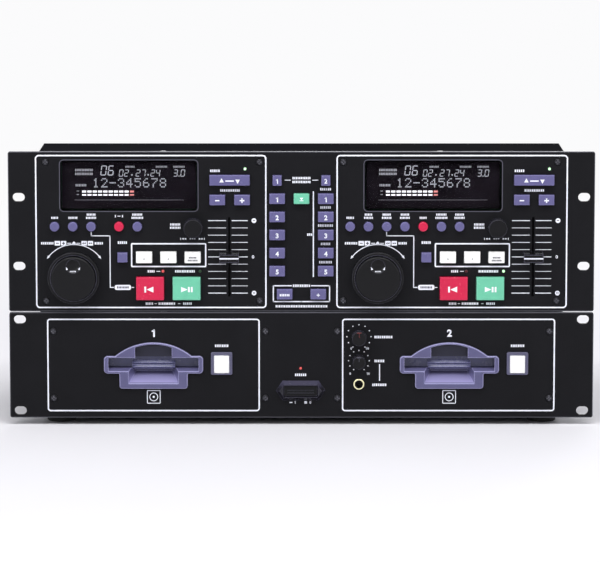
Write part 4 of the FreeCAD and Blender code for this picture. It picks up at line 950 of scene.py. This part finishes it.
def cue_sign(mesh, node):
    """A bar and a triangle that points back to it."""
    x = middle(node).x
    z = middle(node).z - 0.6
    bar(mesh, x - 3.9, z, 1.5, 4.8)
    wedge(mesh, x + 0.9, z, 4.8, 5.6, math.pi / 2)


def pitch_sign(mesh, node):
    """Two triangles and a line between them."""
    x = middle(node).x
    z = middle(node).z - 0.5
    wedge(mesh, x - 6.6, z, 3.6, 3.4)
    bar(mesh, x, z, 7.0, 1.0)
    wedge(mesh, x + 6.6, z, 3.6, 3.4, math.pi)


def pitch_bend_signs(mesh, node):
    """A minus and a plus."""
    left, right = end_keys(node, 7.4)
    z = middle(node).z - 0.4
    bar(mesh, left, z, 3.6, 1.0)
    plus(mesh, right, z, 3.8, 1.05)


def hot_start_signs(mesh, node):
    """Small dark signs low on the three white keys."""
    left, right = end_keys(node, 7.6)
    z = middle(node).z
    for x in (left, (left + right) / 2):
        wedge(mesh, x, z - 1.2, 1.3, 1.2)
    caption(mesh, right, z - 0.1, 6.4, 1.4)
    caption(mesh, right, z - 2.4, 8.2, 1.4)


key_print("preset_numerals_left", "preset_keys_left", preset_numerals)
key_print("preset_numerals_right", "preset_keys_right", preset_numerals)
key_print("deck_key_numerals", "deck_keys", deck_key_numerals)
key_print("load_sign", "load_button", load_sign)
key_print("program_signs", "program_keys", program_signs)
for deck in (1, 2):
    key_print(f"play_sign_{deck}", f"play_button_{deck}", play_sign)
    key_print(f"cue_sign_{deck}", f"cue_button_{deck}", cue_sign)
    key_print(f"pitch_sign_{deck}", f"pitch_button_{deck}", pitch_sign)
    key_print(f"pitch_bend_signs_{deck}", f"pitch_bend_keys_{deck}", pitch_bend_signs)
    key_print(f"hot_start_signs_{deck}", f"hot_start_keys_{deck}", hot_start_signs, DARK_PAINT)


# Marks on the parts that turn and slide

def jog_marks(deck):
    """Two small arrows and a row of blocks under the finger dimple."""
    mesh = bmesh.new()
    x = DECK_X[deck] + JOG_X
    z = CONTROL_Z + JOG_Z + 10.6
    radius = 5.5
    for side in (-1, 1):
        angle = side * math.radians(112)
        wedge(mesh, x + radius * math.sin(angle), z + radius * math.cos(angle), 1.7, 2.4,
              -angle - side * math.pi / 2 + math.pi)
    caption(mesh, x, z - 4.2, 5.0, 1.0)
    node = f"jog_dial_{deck}"
    return lay(mesh, f"jog_marks_{deck}", low(node).y, LINE_PAINT, node, 0.01)


def fader_line(deck):
    """The white line that fills the groove across a fader cap."""
    mesh = bmesh.new()
    node = f"pitch_slider_{deck}"
    bar(mesh, middle(node).x, middle(node).z, high(node).x - low(node).x, 1.0)
    return lay(mesh, f"fader_line_{deck}", low(node).y, LINE_PAINT, node, 0.02, 1.1)


def level_pointer(node, radius, finish):
    """A thin line from the middle of a level knob to its edge, with a short bar across its end."""
    mesh = bmesh.new()
    x = middle(node).x
    z = middle(node).z
    bar(mesh, x, z + radius * 0.5, 0.25, radius * 0.6)
    bar(mesh, x, z + radius * 0.82, radius * 0.62, 0.45)
    return lay(mesh, f"{node}_pointer", low(node).y, finish, node, SIGN_THICKNESS)


def power_key_ribs(node):
    """Two raised ribs across the mains key."""
    mesh = bmesh.new()
    for away in (0.6, -1.6):
        slab(mesh, middle(node).x, middle(node).z + away, 22.0, 0.8, 0.35)
    return lay(mesh, "power_key_ribs", low(node).y, BLACK_PLASTIC, node, 0.3)


for deck in (1, 2):
    jog_marks(deck)
    fader_line(deck)
level_pointer("rec_level_knob", 6.1, RED_PAINT)
level_pointer("phones_level_knob", 5.5, GREY_PAINT)
power_key_ribs("power_button")


# Displays: a dark tube face behind each pane, with lit digits before it

# The width, height and line of the digits for the track and for the time
TRACK_DIGIT = (4.7, 8.2, 0.7)
TIME_DIGIT = (3.4, 5.8, 0.52)

# The lit parts of one display, sorted by how bright they are
PHOSPHORS = {"phosphor": PHOSPHOR, "dim": PHOSPHOR_DIM, "bright": PHOSPHOR_BRIGHT, "red": PHOSPHOR_RED}

TUBE_FACE_DEPTH = 0.9
DIGITS_DEPTH = 0.6


def display_digits(lit, x, z):
    """Track, time and pitch over the row of dotted numbers."""
    for digit, away in (("0", -20.8), ("6", -14.8)):
        segment_digit(lit["phosphor"], digit, x + away, z + 12.0, *TRACK_DIGIT)
    for digit, away in (("0", -6.4), ("2", -2.1), ("2", 7.5), ("7", 11.9), ("2", 19.6), ("4", 23.9),
                        ("3", 38.4), ("0", 44.3)):
        segment_digit(lit["phosphor"], digit, x + away, z + 9.9, *TIME_DIGIT)
    for away in (2.4, 15.8):
        bar(lit["phosphor"], x + away, z + 8.4, 1.1, 1.1)
    bar(lit["phosphor"], x + 41.2, z + 7.4, 0.8, 0.8)
    for i, sign in enumerate("12-345678"):
        dot_digit(lit["phosphor"], sign, x - 27.3 + 6.9 * i, z + 1.8, 1.06, 0.82)


def display_captions(lit, x, z):
    """The dim captions over and beside the digits."""
    for height in (12.4, 9.2):
        caption(lit["dim"], x - 37.1, z + height, 14.7, 1.9)
    for away, width in ((0.9, 7.8), (26.8, 9.6), (41.2, 9.6)):
        caption(lit["dim"], x + away, z + 15.1, width, 1.5)
    caption(lit["dim"], x - 39.6, z - 0.2, 9.2, 1.9)


def level_meter(lit, x, z):
    """Two rows of lit bars, the last ones red, over a thin line."""
    for i in range(10):
        kind = "red" if i == 9 else "bright"
        for height, tall in ((-5.4, 1.6), (-8.2, 1.25)):
            bar(lit[kind], x - 37.0 + 4.37 * i, z + height, 3.3, tall)
    for height in (-5.0, -7.9):
        bar(lit["dim"], x - 42.2, z + height, 1.8, 0.6)
    bar(lit["dim"], x, z - 12.4, 90.0, 0.18)


pane_back = high("display_windows").y
tube_finish = tube_face()
for deck in (1, 2):
    window_x = DECK_X[deck] + WINDOW_X
    window_z = CONTROL_Z + WINDOW_Z
    face = bmesh.new()
    slab(face, window_x, window_z, 110.0, 39.0, 1.0)
    lay(face, f"tube_face_{deck}", pane_back + TUBE_FACE_DEPTH, tube_finish, "root", 0.3, 0.0)
    lit = {kind: bmesh.new() for kind in PHOSPHORS}
    for draw in (display_digits, display_captions, level_meter):
        draw(lit, window_x, window_z)
    for kind, finish in PHOSPHORS.items():
        lay(lit[kind], f"display_{kind}_{deck}", pane_back + DIGITS_DEPTH, finish, "root",
            0.08, 0.0)


# Lamp lenses

LENS_FRONT = FACE - 0.4
LENS_RADIUS = 1.1
LENS_DEPTH = 3.4
LENS_ROUNDING = 0.38


def lenses(name, places, finish):
    """Small domed lenses that stand for the lamps of one colour."""
    mesh = bmesh.new()
    for x, z in places:
        place = Matrix.Translation((x, LENS_FRONT, z)) @ Matrix.Rotation(math.pi / 2, 4, "X")
        bmesh.ops.create_cone(mesh, cap_ends=True, segments=28, radius1=LENS_RADIUS, radius2=LENS_RADIUS,
                              depth=LENS_DEPTH, matrix=place @ Matrix.Translation((0, 0, -LENS_DEPTH / 2)))
        rim = [edge for edge in mesh.edges if all(abs(v.co.y - LENS_FRONT) < 1e-4 for v in edge.verts)
               and all(math.hypot(v.co.x - x, v.co.z - z) < LENS_RADIUS + 0.1 for v in edge.verts)]
        bmesh.ops.bevel(mesh, geom=rim, offset=LENS_ROUNDING, offset_type="OFFSET", affect="EDGES",
                        segments=4, profile=0.5, material=-1)
    bmesh.ops.scale(mesh, verts=mesh.verts, vec=(MM, MM, MM))
    made = piece(mesh, name, finish, "root")
    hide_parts("status_lamps")
    return made


power_lamp = (POWER_X, DRIVE_Z + POWER_LAMP_Z)
cue_lamps = {deck: (x + 10.9, CONTROL_Z - 32.9) for deck, x in DECK_X.items()}
play_lamps = {deck: (x + 41.5, CONTROL_Z - 32.9) for deck, x in DECK_X.items()}
pitch_lamps = [(x + 78.7, CONTROL_Z + 51.9) for x in DECK_X.values()]
lenses("lamp_lenses_red", [power_lamp, cue_lamps[1]], LENS_RED)
lenses("lamp_lenses_green", pitch_lamps + [play_lamps[2]], LENS_GREEN)
lenses("lamp_lens_red_unlit", [cue_lamps[2]], LENS_RED_OFF)
lenses("lamp_lens_green_unlit", [play_lamps[1]], LENS_GREEN_OFF)


# Rear panel: coloured collars round the phono jacks

def phono_collars(name, height, finish):
    """Thin plastic rings at the foot of a row of phono barrels."""
    mesh = bmesh.new()
    for i in range(4):
        hoop(mesh, PHONO_X + PHONO_PITCH * i, DRIVE_Z + height, 5.6, 2.2)
    return lay(mesh, name, high("drive_chassis").y, finish, "root", 1.4, 0.0, -1)


phono_collars("phono_collars_white", PHONO_Z + PHONO_ROW, WHITE_PLASTIC)
phono_collars("phono_collars_red", PHONO_Z - PHONO_ROW, RED_PLASTIC)


# Finishes of the model's own nodes

for node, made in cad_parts.items():
    dress(node, NODE_FINISHES[made.data.materials[0].name.split(".")[0]])
for panel in ("control_front_panel", "drive_front_panel"):
    dress(panel, panel_paint(f"{panel}_paint", panel))
dress("rear_sockets", socket_finish())
dress("power_bezel", power_bezel_plastic())
dress("eject_bezels", EJECT_BEZEL_PLASTIC)


# Floor, light and camera

BACKDROP = linear(251, 251, 252)


def floor_finish():
    """A pale floor that far from the object is seen in the plain tone of the backdrop."""
    finish = Finish("pale_floor", linear(232, 231, 235), 0.9).mottle(600.0, 0.02).dull(400.0, 0.03)
    far = finish.spread(finish.reach(finish.place.outputs["Vector"]), 0.45, 1.5, 0.0, 1.0)
    ray = finish.nodes.new("ShaderNodeLightPath")
    plain = finish.nodes.new("ShaderNodeEmission")
    plain.inputs["Color"].default_value = BACKDROP
    both = finish.nodes.new("ShaderNodeMixShader")
    finish.links.new(finish.times(far, ray.outputs["Is Camera Ray"]), both.inputs[0])
    finish.links.new(finish.shader.outputs["BSDF"], both.inputs[1])
    finish.links.new(plain.outputs["Emission"], both.inputs[2])
    finish.links.new(both.outputs["Shader"], finish.nodes["Material Output"].inputs["Surface"])
    return finish.set(Specular_IOR_Level=0.0).done()


def lay_floor():
    """A wide flat floor at the object's feet."""
    mesh = bmesh.new()
    bmesh.ops.create_grid(mesh, x_segments=1, y_segments=1, size=FLOOR_REACH)
    data = bpy.data.meshes.new("floor")
    mesh.to_mesh(data)
    mesh.free()
    data.materials.append(floor_finish())
    floor = bpy.data.objects.new("floor", data)
    bpy.context.scene.collection.objects.link(floor)


def light_world():
    """Soft light from all round, seen as the plain backdrop by the camera and in metal and glass."""
    world = bpy.data.worlds.new("studio")
    bpy.context.scene.world = world
    world.use_nodes = True
    nodes = world.node_tree.nodes
    links = world.node_tree.links
    light = nodes["Background"]
    light.inputs["Color"].default_value = linear(240, 241, 246)
    light.inputs["Strength"].default_value = 0.42
    seen = nodes.new("ShaderNodeBackground")
    seen.inputs["Color"].default_value = BACKDROP
    seen.inputs["Strength"].default_value = 1.0
    ray = nodes.new("ShaderNodeLightPath")
    shown = ray.outputs["Is Camera Ray"]
    for kind in ("Is Glossy Ray", "Is Transmission Ray"):
        either = nodes.new("ShaderNodeMath")
        either.operation = "MAXIMUM"
        links.new(shown, either.inputs[0])
        links.new(ray.outputs[kind], either.inputs[1])
        shown = either.outputs["Value"]
    choice = nodes.new("ShaderNodeMixShader")
    links.new(shown, choice.inputs[0])
    links.new(light.outputs[0], choice.inputs[1])
    links.new(seen.outputs[0], choice.inputs[2])
    links.new(choice.outputs[0], nodes["World Output"].inputs["Surface"])


def softbox(name, place, aim, width, height, power):
    """A large soft lamp that looks at a point."""
    lamp = bpy.data.lights.new(name, "AREA")
    lamp.shape = "RECTANGLE"
    lamp.size = width
    lamp.size_y = height
    lamp.energy = power
    holder = bpy.data.objects.new(name, lamp)
    bpy.context.scene.collection.objects.link(holder)
    holder.location = place
    holder.rotation_euler = (Vector(aim) - Vector(place)).to_track_quat("-Z", "Y").to_euler()
    return holder

def set_camera(aim):
    """A long lens that looks down a little and shows the front as the photograph does."""
    lens = bpy.data.cameras.new("camera")
    lens.sensor_width = SENSOR_WIDTH
    lens.lens = SENSOR_WIDTH * CAMERA_DISTANCE / PICTURE_WIDTH
    lens.clip_end = 100.0
    camera = bpy.data.objects.new("camera", lens)
    bpy.context.scene.collection.objects.link(camera)
    backward = Vector((0.0, -math.cos(CAMERA_ELEVATION), math.sin(CAMERA_ELEVATION)))
    camera.location = aim + CAMERA_DISTANCE * backward
    camera.rotation_euler = (math.pi / 2 - CAMERA_ELEVATION, 0.0, 0.0)
    bpy.context.scene.camera = camera


lay_floor()
light_world()
front_middle = (0.0, FACE * MM, 0.12)
rear_middle = (0.0, 0.1, 0.1)
softbox("top_light", (0.0, -1.1, 1.6), front_middle, width=2.2, height=0.7, power=33.0)
softbox("left_light", (-1.7, -1.9, 1.0), front_middle, width=1.2, height=1.2, power=8.0)
softbox("right_light", (2.0, -1.3, 0.8), front_middle, width=0.9, height=1.3, power=6.0)
softbox("rear_light", (0.4, 2.4, 1.1), rear_middle, width=1.6, height=1.0, power=38.0)
set_camera(Vector((-0.0012, FACE * MM, 0.1202)))
bpy.context.scene.view_settings.view_transform = "Standard"
